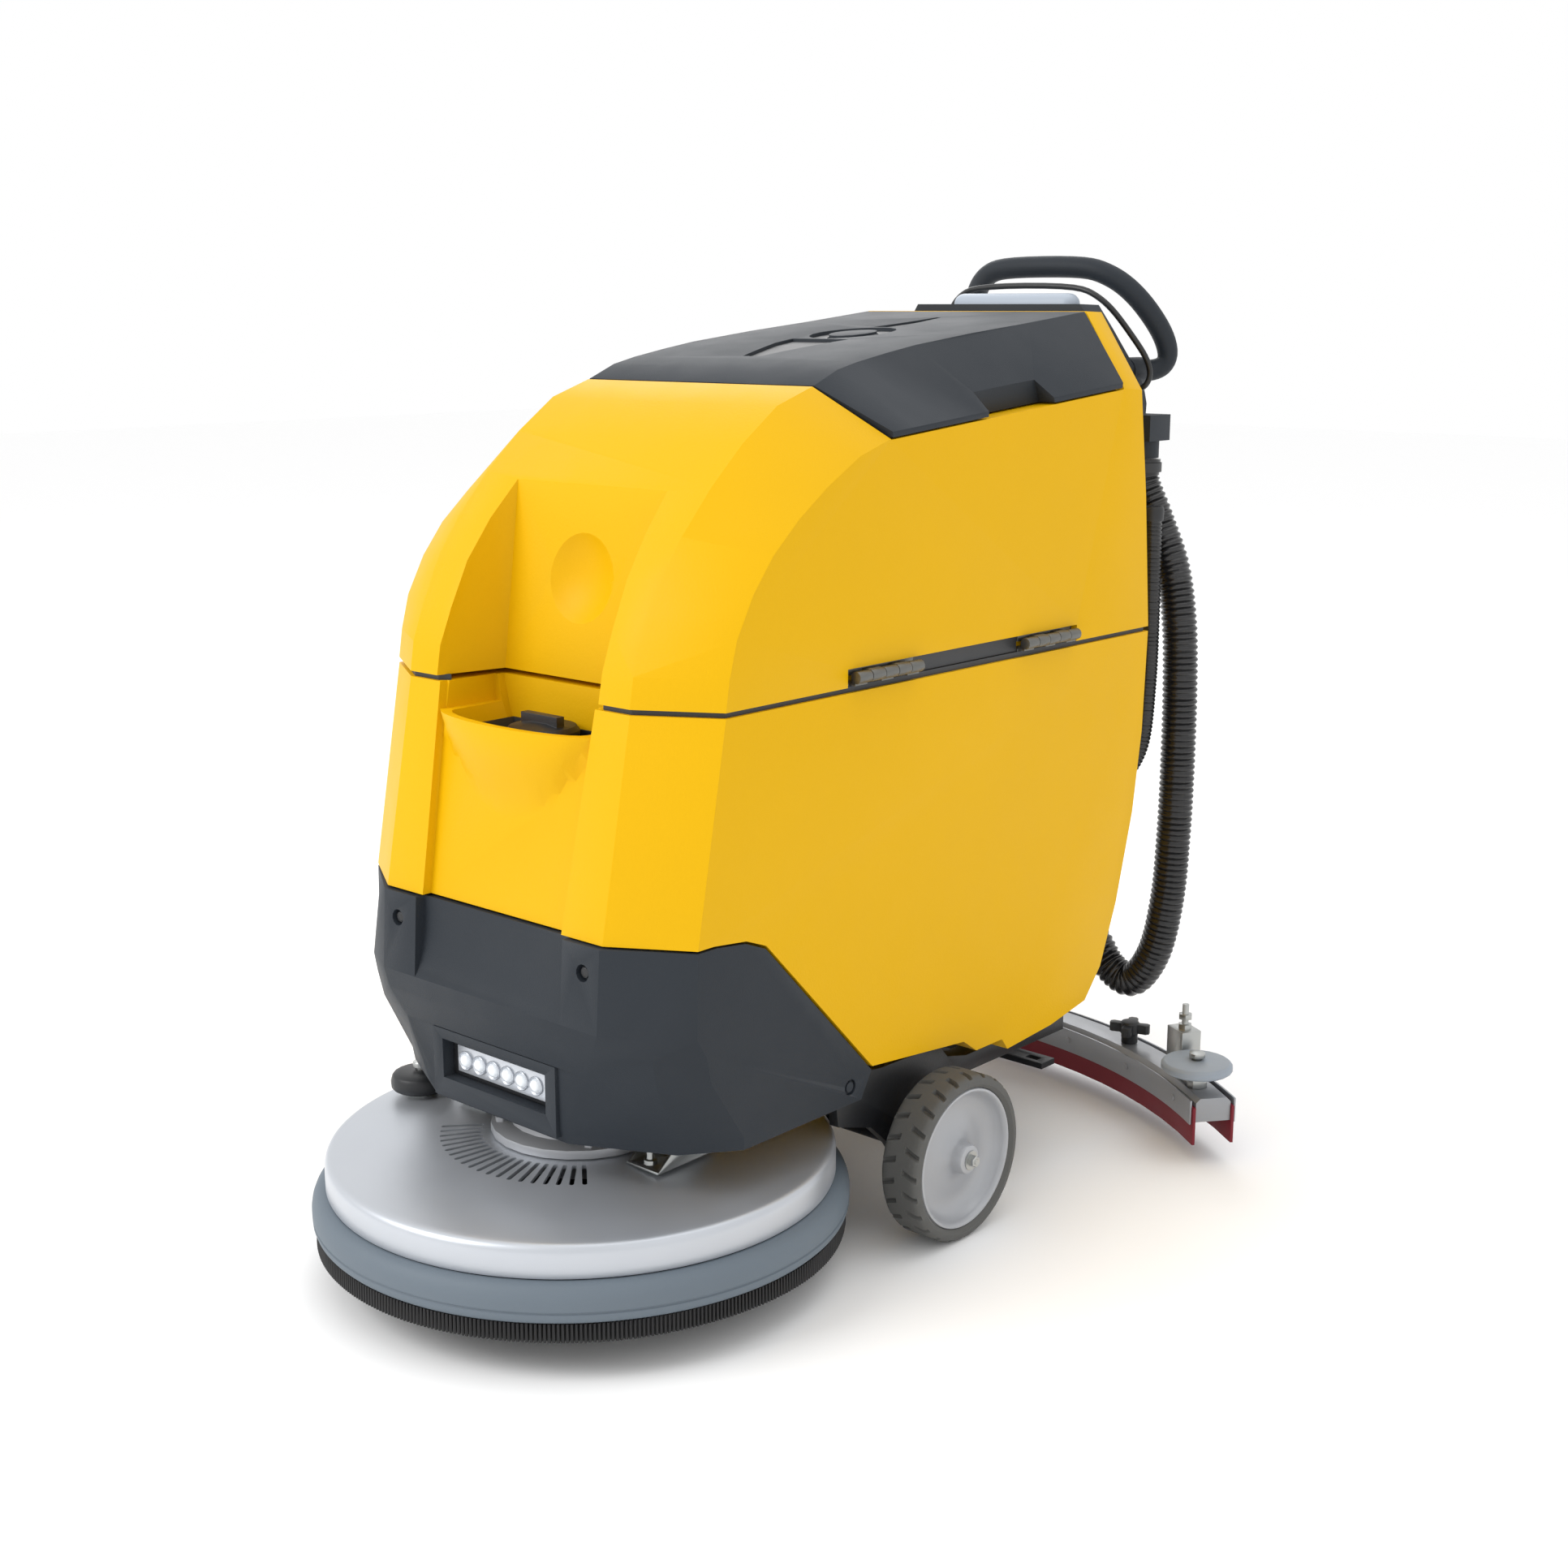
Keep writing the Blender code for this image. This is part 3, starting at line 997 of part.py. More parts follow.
def squeegee_arm():
    """Black lift arm between the chassis lugs and the squeegee's port."""
    y, z = ARM_PIVOT
    barrel = turned("squeegee_arm", [(0, -0.0885), (0.0100, -0.0885), (0.0100, 0.0885), (0, 0.0885)], (0, y, z),
                    FRAME, "X", 16)
    pins = turned("pins", [(0, -0.1000), (0.0050, -0.1000), (0.0050, 0.1000), (0, 0.1000)], (0, y, z), FRAME, "X",
                  16)
    drop = side_prism("drop", [(y - 0.004, z - 0.007), (y + 0.006, z + 0.002), (y + 0.050, 0.1040),
                               (y + 0.050, 0.0930), (y + 0.004, 0.0930)], -0.044, 0.044, FRAME)
    plate = plan_prism("plate", [(-0.045, y + 0.030), (0.045, y + 0.030), (0.034, PORT_Y), (-0.034, PORT_Y)],
                       0.0925, 0.1045, FRAME)
    eye = turned("eye", [(0, 0.0920), (0.0345, 0.0920), (0.0345, 0.1050), (0, 0.1050)], (0, PORT_Y, 0), FRAME,
                 sides=20)
    bar = box("bar", -0.185, 0.185, y + 0.008, y + 0.034, 0.0915, 0.0985, FRAME)
    fuse(plate, eye)
    hole = turned("hole", [(0, 0.08), (0.0171, 0.08), (0.0171, 0.12), (0, 0.12)], (0, PORT_Y, 0), FRAME, sides=16)
    cut(plate, hole)
    for part in (pins, drop, plate, bar):
        fuse(barrel, part)
    for side in (-1, 1):
        slot = box("slot", side * 0.165 - 0.0085, side * 0.165 + 0.0085, y + 0.014, y + 0.024, 0.08, 0.11, FRAME)
        cut(barrel, slot)
    return pivot(barrel, (0, y, z))


# ---- hoses --------------------------------------------------------------------------
def hose(name, points, diameter, look):
    """A hose as a bevelled line."""
    curve = bpy.data.curves.new(name, "CURVE")
    curve.dimensions = "3D"
    curve.bevel_depth = diameter / 2
    curve.bevel_resolution = 2
    curve.use_fill_caps = True
    line = curve.splines.new("POLY")
    line.points.add(len(points) - 1)
    for point, place in zip(line.points, points):
        point.co = (*place, 1.0)
    curve.materials.append(finish(*look))
    obj = bpy.data.objects.new(name, curve)
    bpy.context.scene.collection.objects.link(obj)
    return obj


def hoses():
    """Suction hose from the console to the squeegee, and the drain hose on its clip."""
    hose("suction_hose", spline(SUCTION_ROUTE, 0.034), HOSE_D, BLACK)
    hose("drain_hose", spline(DRAIN_ROUTE, 0.028), DRAIN_D, BLACK)


def hose_clip():
    """Clip on the recovery tank's back that holds the drain hose's free end."""
    clip = box("hose_clip", 0.1760, 0.1895, 0.3945, 0.4200, 0.680, 0.720, BLACK)
    return fuse(clip, box("finger", 0.1760, 0.1905, 0.415, 0.4480, 0.690, 0.710, BLACK))


def build():
    solution_tank()
    recovery_tank()
    recovery_lid()
    front_skirt()
    skirt_bolts()
    lamp()
    filler()
    tank_hinge("front", -0.144, -0.043)
    tank_hinge("rear", 0.136, 0.234)
    console()
    panel()
    controls()
    handle()
    bail()
    rear_column()
    squeegee_lever()
    chassis()
    transaxle()
    for word, side in (("left", 1), ("right", -1)):
        drive_wheel(word, side)
        caster(word, side)
        deck_bracket(word, side)
        squeegee_fittings(word, side)
    power()
    float_cage()
    deck_cover()
    deck_edge()
    scrub_brush()
    brush_motor()
    wall_roller()
    squeegee_body()
    squeegee_blades()
    squeegee_arm()
    hoses()
    hose_clip()


for leftover in list(bpy.data.objects):
    bpy.data.objects.remove(leftover)
build()
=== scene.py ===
"""Looks for the walk-behind floor scrubber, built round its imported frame.

Metres, +Z up, floor at Z = 0; the machine faces -Y. Every CAD node is stood for by a piece with
rounded edges, and the tyres, deck, brush, lamp and hoses are modelled again with their detail.
"""
import json
import math

import bmesh
import bpy
from mathutils import Matrix, Vector

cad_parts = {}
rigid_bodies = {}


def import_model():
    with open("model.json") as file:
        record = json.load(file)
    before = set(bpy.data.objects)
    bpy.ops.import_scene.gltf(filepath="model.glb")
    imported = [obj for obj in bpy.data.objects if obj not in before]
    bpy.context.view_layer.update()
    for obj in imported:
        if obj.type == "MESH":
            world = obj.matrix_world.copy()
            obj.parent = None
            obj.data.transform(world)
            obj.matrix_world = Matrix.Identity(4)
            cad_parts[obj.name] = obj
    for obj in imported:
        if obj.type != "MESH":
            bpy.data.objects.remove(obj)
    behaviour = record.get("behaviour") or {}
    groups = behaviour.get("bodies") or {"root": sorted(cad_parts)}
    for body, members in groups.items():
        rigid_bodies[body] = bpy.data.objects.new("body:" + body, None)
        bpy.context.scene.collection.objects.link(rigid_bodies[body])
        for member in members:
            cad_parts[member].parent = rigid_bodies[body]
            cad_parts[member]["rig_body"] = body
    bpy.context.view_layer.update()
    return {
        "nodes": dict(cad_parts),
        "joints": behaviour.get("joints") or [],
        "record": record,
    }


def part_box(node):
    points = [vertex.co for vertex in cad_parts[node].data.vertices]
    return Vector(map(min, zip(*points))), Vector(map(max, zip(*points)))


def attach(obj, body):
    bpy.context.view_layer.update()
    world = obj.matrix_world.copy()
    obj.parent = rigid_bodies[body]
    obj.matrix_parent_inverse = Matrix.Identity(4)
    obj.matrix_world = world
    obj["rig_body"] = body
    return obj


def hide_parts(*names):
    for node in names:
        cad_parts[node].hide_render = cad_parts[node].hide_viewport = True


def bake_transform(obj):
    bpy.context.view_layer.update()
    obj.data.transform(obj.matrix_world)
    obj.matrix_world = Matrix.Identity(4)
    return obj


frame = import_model()
SLOTS = {part["node"]: part["material_slot"] for part in frame["record"]["subparts"]}
JOINTS = {joint["name"]: joint for joint in frame["joints"]}

# ---- camera -------------------------------------------------------------------------
VIEW_TURN = math.radians(41.71)
VIEW_DROP = math.radians(12.90)
camera = bpy.data.objects.new("camera", bpy.data.cameras.new("camera"))
bpy.context.scene.collection.objects.link(camera)
camera.location = (1.502, -1.664, 0.968)
camera.rotation_euler = (math.pi / 2 - VIEW_DROP, 0.0, VIEW_TURN)
camera.data.lens = 47.85
camera.data.sensor_width = 36.0
bpy.context.scene.camera = camera


# ---- materials ----------------------------------------------------------------------
def node(tree, kind, **inputs):
    """A new shader node with the named inputs set."""
    made = tree.nodes.new(kind)
    for key, value in inputs.items():
        made.inputs[key.replace("_", " ")].default_value = value
    return made


def surface(name, base, rough, metallic=0.0, grain=0.0, grain_size=0.0015, blotch=0.05, coat=0.0,
            wear=0.0, spread=0.06, stretch=(1.0, 1.0, 1.0), sheen=0.5):
    """A shader with grain in its bump, slow changes of tone and roughness, and pale worn edges."""
    made = bpy.data.materials.new(name)
    made.use_nodes = True
    tree = made.node_tree
    shader = tree.nodes["Principled BSDF"]
    shader.inputs["Metallic"].default_value = metallic
    shader.inputs["Specular IOR Level"].default_value = sheen
    shader.inputs["Coat Weight"].default_value = coat
    shader.inputs["Coat Roughness"].default_value = 0.25
    place = tree.nodes.new("ShaderNodeTexCoord")
    scale = tree.nodes.new("ShaderNodeMapping")
    scale.inputs["Scale"].default_value = stretch
    tree.links.new(place.outputs["Object"], scale.inputs["Vector"])

    slow = node(tree, "ShaderNodeTexNoise", Scale=5.0, Detail=3.0, Roughness=0.55)
    tree.links.new(scale.outputs["Vector"], slow.inputs["Vector"])
    tone = tree.nodes.new("ShaderNodeMix")
    tone.data_type = "RGBA"
    tone.inputs["A"].default_value = (*[c * (1 - blotch) for c in base], 1.0)
    tone.inputs["B"].default_value = (*[min(1.0, c * (1 + blotch)) for c in base], 1.0)
    tree.links.new(slow.outputs["Fac"], tone.inputs["Factor"])
    colour = tone.outputs["Result"]
    if wear:
        edge = tree.nodes.new("ShaderNodeNewGeometry")
        ramp = tree.nodes.new("ShaderNodeMapRange")
        ramp.inputs["From Min"].default_value = 0.53
        ramp.inputs["From Max"].default_value = 0.62
        ramp.inputs["To Max"].default_value = wear
        worn = tree.nodes.new("ShaderNodeMix")
        worn.data_type = "RGBA"
        worn.inputs["B"].default_value = (*[min(1.0, c * 1.5 + 0.06) for c in base], 1.0)
        tree.links.new(edge.outputs["Pointiness"], ramp.inputs["Value"])
        tree.links.new(ramp.outputs["Result"], worn.inputs["Factor"])
        tree.links.new(colour, worn.inputs["A"])
        colour = worn.outputs["Result"]
    tree.links.new(colour, shader.inputs["Base Color"])

    patch = node(tree, "ShaderNodeTexNoise", Scale=22.0, Detail=4.0)
    tree.links.new(scale.outputs["Vector"], patch.inputs["Vector"])
    gloss = tree.nodes.new("ShaderNodeMapRange")
    gloss.inputs["To Min"].default_value = max(0.03, rough - spread)
    gloss.inputs["To Max"].default_value = min(1.0, rough + spread)
    tree.links.new(patch.outputs["Fac"], gloss.inputs["Value"])
    tree.links.new(gloss.outputs["Result"], shader.inputs["Roughness"])
    if grain:
        fine = node(tree, "ShaderNodeTexNoise", Scale=1.0 / grain_size, Detail=2.0)
        tree.links.new(scale.outputs["Vector"], fine.inputs["Vector"])
        bump = node(tree, "ShaderNodeBump", Strength=0.35, Distance=grain)
        tree.links.new(fine.outputs["Fac"], bump.inputs["Height"])
        tree.links.new(bump.outputs["Normal"], shader.inputs["Normal"])
    return made


LOOK = {
    "tank_yellow": surface("moulded_yellow", (0.715, 0.402, 0.0), 0.46, grain=0.0005, grain_size=0.0022,
                           blotch=0.03, wear=0.10, sheen=0.14),
    "charcoal_plastic": surface("charcoal_moulding", (0.018, 0.023, 0.030), 0.56, grain=0.0007,
                                grain_size=0.0012, wear=0.25, sheen=0.28),
    "black_plastic": surface("black_moulding", (0.008, 0.009, 0.011), 0.45, grain=0.0005, grain_size=0.001,
                             wear=0.25),
    "clear_lens": surface("lamp_lens", (0.86, 0.90, 0.94), 0.08, coat=1.0, blotch=0.02, spread=0.02),
    "panel_grey": surface("panel_film", (0.40, 0.45, 0.52), 0.38, grain=0.0002, grain_size=0.0006),
    "bail_steel": surface("bail_coating", (0.012, 0.013, 0.014), 0.36, grain=0.0003, wear=0.3),
    "frame_black": surface("frame_coating", (0.009, 0.010, 0.012), 0.42, metallic=0.1, grain=0.0005,
                           grain_size=0.0018, wear=0.35),
    "battery_case": surface("battery_moulding", (0.03, 0.03, 0.035), 0.5, grain=0.0004),
    "silver_paint": surface("silver_coating", (0.53, 0.555, 0.595), 0.36, metallic=0.65, grain=0.0002,
                            grain_size=0.0007, wear=0.3, blotch=0.03),
    "ring_rubber": surface("blue_grey_rubber", (0.130, 0.160, 0.190), 0.58, grain=0.0005, grain_size=0.001,
                           wear=0.2, sheen=0.35),
    "bristle_black": surface("nylon_bristle", (0.009, 0.009, 0.010), 0.62, blotch=0.4),
    "hub_grey": surface("hub_coating", (0.39, 0.40, 0.42), 0.36, metallic=0.25, grain=0.0003, wear=0.3),
    "channel_aluminium": surface("channel_metal", (0.30, 0.31, 0.33), 0.38, metallic=0.60, grain=0.0002,
                                 grain_size=0.0006, stretch=(1.0, 1.0, 6.0), wear=0.2),
    "squeegee_rubber": surface("gum_rubber", (0.17, 0.006, 0.016), 0.5, grain=0.0003, sheen=0.35),
    "hose_black": surface("hose_vinyl", (0.010, 0.010, 0.011), 0.24, grain=0.0003, wear=0.2),
    "button_green": surface("button_moulding", (0.02, 0.27, 0.08), 0.32, coat=0.3),
    "zinc_steel": surface("zinc_plate", (0.44, 0.45, 0.44), 0.34, metallic=0.95, grain=0.0002,
                          grain_size=0.0008, blotch=0.12),
    "hinge_metal": surface("worn_hinge", (0.15, 0.15, 0.14), 0.42, metallic=0.9, grain=0.0002, wear=0.3),
    "tyre_grey": surface("tyre_rubber", (0.095, 0.095, 0.090), 0.82, grain=0.0008, grain_size=0.0014,
                         blotch=0.10, wear=0.2),
    "roller_grey": surface("roller_moulding", (0.27, 0.31, 0.36), 0.50, grain=0.0004, wear=0.2),
}


# ---- piece helpers ------------------------------------------------------------------
def mesh_from(bm, name, outward=False):
    """A mesh of the finished bmesh, with its faces turned outward on request."""
    if outward:
        bmesh.ops.recalc_face_normals(bm, faces=bm.faces)
    mesh = bpy.data.meshes.new(name)
    bm.to_mesh(mesh)
    bm.free()
    return mesh


def piece(name, mesh, slot, body, replaces=(), smooth=32.0):
    """Link a mesh as a finished piece that rides on a body, or on none yet where body is None."""
    obj = bpy.data.objects.new(name, mesh)
    bpy.context.scene.collection.objects.link(obj)
    mesh.materials.clear()
    mesh.materials.append(LOOK[slot])
    mesh.shade_smooth()
    if smooth:
        mesh.set_sharp_from_angle(angle=math.radians(smooth))
    if body:
        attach(obj, body)
    if replaces:
        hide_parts(*replaces)
    return obj


def applied(mesh, **modifiers):
    """The mesh after the named modifiers, each given as a dictionary of its settings."""
    holder = bpy.data.objects.new("holder", mesh)
    bpy.context.scene.collection.objects.link(holder)
    for kind, settings in modifiers.items():
        step = holder.modifiers.new(kind, kind.upper())
        for key, value in settings.items():
            setattr(step, key, value)
    graph = bpy.context.evaluated_depsgraph_get()
    result = bpy.data.meshes.new_from_object(holder.evaluated_get(graph))
    bpy.data.objects.remove(holder)
    return result


def clean_copy(name, quads=False):
    """A CAD node's mesh with its triangles joined back into whole faces."""
    mesh = frame["nodes"][name].data.copy()
    bm = bmesh.new()
    bm.from_mesh(mesh)
    bmesh.ops.remove_doubles(bm, verts=bm.verts, dist=2e-5)
    if quads:
        bmesh.ops.join_triangles(bm, faces=bm.faces, angle_face_threshold=0.7, angle_shape_threshold=0.9)
    else:
        bmesh.ops.dissolve_limit(bm, angle_limit=math.radians(1.0), verts=bm.verts, edges=bm.edges)
    bm.to_mesh(mesh)
    bm.free()
    return mesh


# corners of the skirt at the low edge of its band, and where each one is eased to, as (x, y)
SKIRT_BAND_LOW = 0.262
SKIRT_EASE = {
    (0.108, -0.406): (0.132, -0.4095),
    (0.200, -0.356): (0.2025, -0.384),
    (0.235, -0.306): (0.235, -0.344),
}


def ease_skirt(mesh):
    """Let the skirt band's lower slope run out smoothly along the flanks."""
    for vertex in mesh.vertices:
        for (x, y), (to_x, to_y) in SKIRT_EASE.items():
            off = max(abs(abs(vertex.co.x) - x), abs(vertex.co.y - y), abs(vertex.co.z - SKIRT_BAND_LOW))
            if off < 5e-4:
                vertex.co.x = math.copysign(to_x, vertex.co.x)
                vertex.co.y = to_y


def rounded(name, width, segments):
    """Stand for a CAD node with its own shape and rounded edges."""
    mesh = clean_copy(name)
    if name == "front_skirt":
        ease_skirt(mesh)
    mesh = applied(mesh, bevel={
        "width": width, "segments": segments, "limit_method": "ANGLE", "angle_limit": math.radians(30),
        "use_clamp_overlap": True, "miter_outer": "MITER_ARC",
    })
    made = piece(name + "_skin", mesh, SLOTS[name], frame["nodes"][name]["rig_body"], (name,), smooth=40.0)
    if name.startswith("hinge_"):
        mesh.materials[0] = LOOK["hinge_metal"]
    return made


def flowing(name):
    """Stand for a bent round bar with its subdivided surface."""
    mesh = applied(clean_copy(name, quads=True), subsurf={"levels": 2, "render_levels": 2})
    return piece(name + "_skin", mesh, SLOTS[name], frame["nodes"][name]["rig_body"], (name,), smooth=0)


def lathe(profile, centre, axis="Z", sides=96, closed=True):
    """Mesh of (radius, height) points turned about an axis. Radius 0 makes a pole."""
    bm = bmesh.new()
    rings = []
    for radius, height in profile:
        count = 1 if radius < 1e-7 else sides
        ring = []
        for k in range(count):
            a = 2 * math.pi * k / sides
            ring.append(bm.verts.new((radius * math.cos(a), radius * math.sin(a), height)))
        rings.append(ring)
    pairs = list(zip(rings, rings[1:]))
    if closed:
        pairs.append((rings[-1], rings[0]))
    for a, b in pairs:
        if len(a) == 1 and len(b) == 1:
            continue
        for k in range(sides):
            n = (k + 1) % sides
            if len(a) == 1:
                bm.faces.new((a[0], b[n], b[k]))
            elif len(b) == 1:
                bm.faces.new((a[k], a[n], b[0]))
            else:
                bm.faces.new((a[k], a[n], b[n], b[k]))
    turn = {"Z": Matrix.Identity(4), "X": Matrix.Rotation(math.radians(90), 4, "Y"),
            "Y": Matrix.Rotation(math.radians(-90), 4, "X")}[axis]
    bmesh.ops.transform(bm, matrix=Matrix.Translation(centre) @ turn, verts=bm.verts)
    return mesh_from(bm, "turned", outward=True)


def bar(bm, matrix, size):
    """Add a box of the given size to a bmesh."""
    bmesh.ops.create_cube(bm, size=1.0, matrix=matrix @ Matrix.Diagonal((*size, 1.0)))


def merged(meshes):
    """One mesh of several."""
    bm = bmesh.new()
    for mesh in meshes:
        bm.from_mesh(mesh)
    return mesh_from(bm, "merged")


def spline(points, step):
    """A smooth line through points, cut into lengths of about step."""
    points = [Vector(p) for p in points]
    line = [points[0]]
    for i in range(len(points) - 1):
        p0 = points[max(i - 1, 0)]
        p1, p2 = points[i], points[i + 1]
        p3 = points[min(i + 2, len(points) - 1)]
        count = max(1, round((p2 - p1).length / step))
        for k in range(1, count + 1):
            t = k / count
            line.append(0.5 * (2 * p1 + (p2 - p0) * t + (2 * p0 - 5 * p1 + 4 * p2 - p3) * t ** 2
                               + (3 * p1 - p0 - 3 * p2 + p3) * t ** 3))
    return line


def length_of(line):
    """How long a line of points is."""
    return sum((b - a).length for a, b in zip(line, line[1:]))


# ---- hoses --------------------------------------------------------------------------
# diameters and routes, the same as in the CAD model
SUCTION_D = 0.042
DRAIN_D = 0.024
CLAMP_R = SUCTION_D / 2 + 0.0002
SUCTION_ROUTE = [
    (0.1680, 0.4680, 0.7940), (0.1680, 0.4680, 0.768), (0.1850, 0.4740, 0.725), (0.2080, 0.4780, 0.667),
    (0.2210, 0.4780, 0.600), (0.2255, 0.4780, 0.520), (0.2265, 0.4780, 0.423), (0.2250, 0.4780, 0.340),
    (0.2200, 0.4780, 0.262), (0.2050, 0.4780, 0.192), (0.1760, 0.4780, 0.150), (0.1440, 0.4780, 0.158),
    (0.1180, 0.4780, 0.190), (0.0850, 0.4780, 0.218), (0.0430, 0.4775, 0.220), (0.0100, 0.4770, 0.196),
    (0.0, 0.4770, 0.158), (0.0, 0.4770, 0.1290),
]
DRAIN_ROUTE = [
    (0.110, 0.4240, 0.6530), (0.110, 0.4240, 0.6260), (0.111, 0.4260, 0.545), (0.119, 0.4300, 0.468),
    (0.143, 0.4335, 0.423), (0.175, 0.4350, 0.421), (0.198, 0.4360, 0.460), (0.205, 0.4360, 0.535),
    (0.206, 0.4355, 0.620), (0.205, 0.4350, 0.700), (0.204, 0.4350, 0.742),
]


def ribbed_tube(route, diameter, pitch, depth, cuff, sides=28):
    """A hose with a rib every pitch and a smooth cuff at both ends."""
    line = spline(route, pitch / 6)
    total = length_of(line)
    bm = bmesh.new()
    rings = []
    walked = 0.0
    tangent = (line[1] - line[0]).normalized()
    normal = tangent.orthogonal().normalized()
    for i, point in enumerate(line):
        if i:
            walked += (point - line[i - 1]).length
        tangent = (line[min(i + 1, len(line) - 1)] - line[max(i - 1, 0)]).normalized()
        normal = (normal - tangent * normal.dot(tangent)).normalized()
        side = tangent.cross(normal)
        if walked < cuff or walked > total - cuff:
            radius = diameter / 2
        else:
            wave = 0.5 + 0.5 * math.cos(2 * math.pi * walked / pitch)
            radius = diameter / 2 - depth * (1 - wave ** 0.6)
        ring = []
        for k in range(sides):
            a = 2 * math.pi * k / sides
            ring.append(bm.verts.new(point + radius * (math.cos(a) * normal + math.sin(a) * side)))
        rings.append(ring)
    for a, b in zip(rings, rings[1:]):
        for k in range(sides):
            n = (k + 1) % sides
            bm.faces.new((a[k], a[n], b[n], b[k]))
    bm.faces.new(reversed(rings[0]))
    bm.faces.new(rings[-1])
    return mesh_from(bm, "tube", outward=True), line


def clamp_band(name, centre, radius, slot, body):
    """Worm-drive band with its screw housing."""
    half, outer = 0.0055, radius + 0.0012
    band = lathe([(radius, -half), (outer, -half), (outer, half), (radius, half)], centre, "Z", 48)
    bm = bmesh.new()
    bm.from_mesh(band)
    bar(bm, Matrix.Translation(Vector(centre) + Vector((0, radius + 0.003, 0))), (0.014, 0.006, 0.009))
    bm.to_mesh(band)
    bm.free()
    return piece(name, band, slot, body)


def hoses():
    """Suction hose from the machine down to the squeegee arm, riding on no body, and the drain hose with its
    cap.
    """
    mesh, line = ribbed_tube(SUCTION_ROUTE, SUCTION_D, 0.0072, 0.0026, 0.022)
    suction = piece("suction_hose_ribbed", mesh, "hose_black", None, ("suction_hose",), smooth=60.0)
    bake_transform(suction)

    mesh, line = ribbed_tube(DRAIN_ROUTE, DRAIN_D, 0.0046, 0.0013, 0.014, sides=20)
    drain = piece("drain_hose_ribbed", mesh, "hose_black", "recovery", ("drain_hose",), smooth=60.0)
    end = Vector(DRAIN_ROUTE[-1])
    cap = piece("drain_cap", lathe([(0, -0.016), (0.0134, -0.016), (0.0138, -0.012), (0.0138, -0.003),
                                    (0.0125, 0.0), (0, 0.0)], end, "Z", 32), "black_plastic", "recovery")


# ---- wheels -------------------------------------------------------------------------
def tyre(word):
    """Grey tyre with two offset rows of slanted notches that open at the shoulders."""
    low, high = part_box(f"tyre_{word}")
    centre = (low + high) / 2
    outer = (high.z - low.z) / 2
    half = (high.x - low.x) / 2
    inner = outer - 0.0137
    deep = 0.0046
    # radius, height across the tyre and how deep a notch is there
    across = [(inner, half - 0.004, 0), (inner + 0.004, half, 0), (outer - 0.0075, half, 0),
              (outer - 0.0030, half - 0.0014, 0.0), (outer - 0.0010, half - 0.0035, 0.0030),
              (outer, half - 0.0060, deep), (outer, half * 0.50, deep), (outer, half * 0.24, deep),
              (outer, half * 0.18, 0), (outer, half * 0.02, 0)]
    across += [(r, -h, depth) for r, h, depth in reversed(across)]
    # facets round the tyre, and from notch to notch, across a notch and along its slant
    sides, pitch, notch, slant = 240, 10, 2, 3.5
    bm = bmesh.new()
    rings = []
    for radius, height, depth in across:
        ring = []
        for k in range(sides):
            phase = (k + (pitch // 2 if height > 0 else 0)) % pitch
            reach = radius - (depth if phase < notch else 0.0)
            a = 2 * math.pi * (k + slant * abs(height) / half) / sides
            ring.append(bm.verts.new((height, reach * math.cos(a), reach * math.sin(a))))
        rings.append(ring)
    for a, b in zip(rings, rings[1:] + rings[:1]):
        for k in range(sides):
            n = (k + 1) % sides
            bm.faces.new((a[k], a[n], b[n], b[k]))
    bmesh.ops.transform(bm, matrix=Matrix.Translation(centre), verts=bm.verts)
    mesh = mesh_from(bm, "tyre", outward=True)
    piece(f"tyre_{word}_tread", mesh, "tyre_grey", f"wheel_{word}", (f"tyre_{word}",), smooth=35.0)


def hub(word, side):
    """Dished hub with its raised rim, centre boss, washer and nut."""
    low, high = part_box(f"tyre_{word}")
    centre = (low + high) / 2
    half = (high.x - low.x) / 2
    rim = (high.z - low.z) / 2 - 0.0140
    dish = [(0, 0.0265), (0.0120, 0.0265), (0.0150, 0.0250), (0.0165, 0.0220), (0.0175, 0.014),
            (0.0205, 0.0095), (0.030, 0.0055), (0.045, 0.0018), (0.053, 0.0015), (0.061, 0.0035),
            (0.067, 0.0075), (0.0705, 0.0160), (0.0720, half - 0.0040), (0.0735, half - 0.0028),
            (rim - 0.001, half - 0.0030), (rim, half - 0.0045), (rim, -half + 0.004),
            (rim - 0.006, -half + 0.004), (rim - 0.008, -0.006), (0.024, -0.010), (0.024, -half + 0.001),
            (0, -half + 0.001)]
    washer = [(0, 0.0262), (0.0100, 0.0262), (0.0104, 0.0268), (0.0104, 0.0278), (0.0, 0.0278)]
    nut = [(0, 0.0275), (0.0066, 0.0275), (0.0066, 0.0335), (0.0058, 0.0345), (0, 0.0345)]
    stud = [(0, 0.034), (0.0034, 0.034), (0.0030, 0.0352), (0, 0.0352)]
    dish, washer, nut, stud = [
        lathe([(r, side * h) for r, h in profile], centre, "X", sides)
        for profile, sides in ((dish, 96), (washer, 48), (nut, 6), (stud, 24))
    ]
    piece(f"hub_{word}_dish", dish, "hub_grey", f"wheel_{word}", (f"hub_{word}",), smooth=35.0)
    piece(f"axle_nut_{word}", merged([washer, nut, stud]), "zinc_steel", f"wheel_{word}", smooth=30.0)


# ---- deck ---------------------------------------------------------------------------
DOME_TOP = 0.140
DOME_EDGE = 0.2623
# a fan of slots, whose angles are in degrees from straight ahead
SLOT_COUNT, SLOT_FIRST, SLOT_STEP = 20, -49.0, 5.1
SLOT_MIDDLE, SLOT_LONG, SLOT_WIDE = 0.1245, 0.0385, 0.0048
# (radius, bunches round it) of the curtain's three rows
CURTAIN = [(0.2660, 400), (0.2690, 406), (0.2718, 412)]
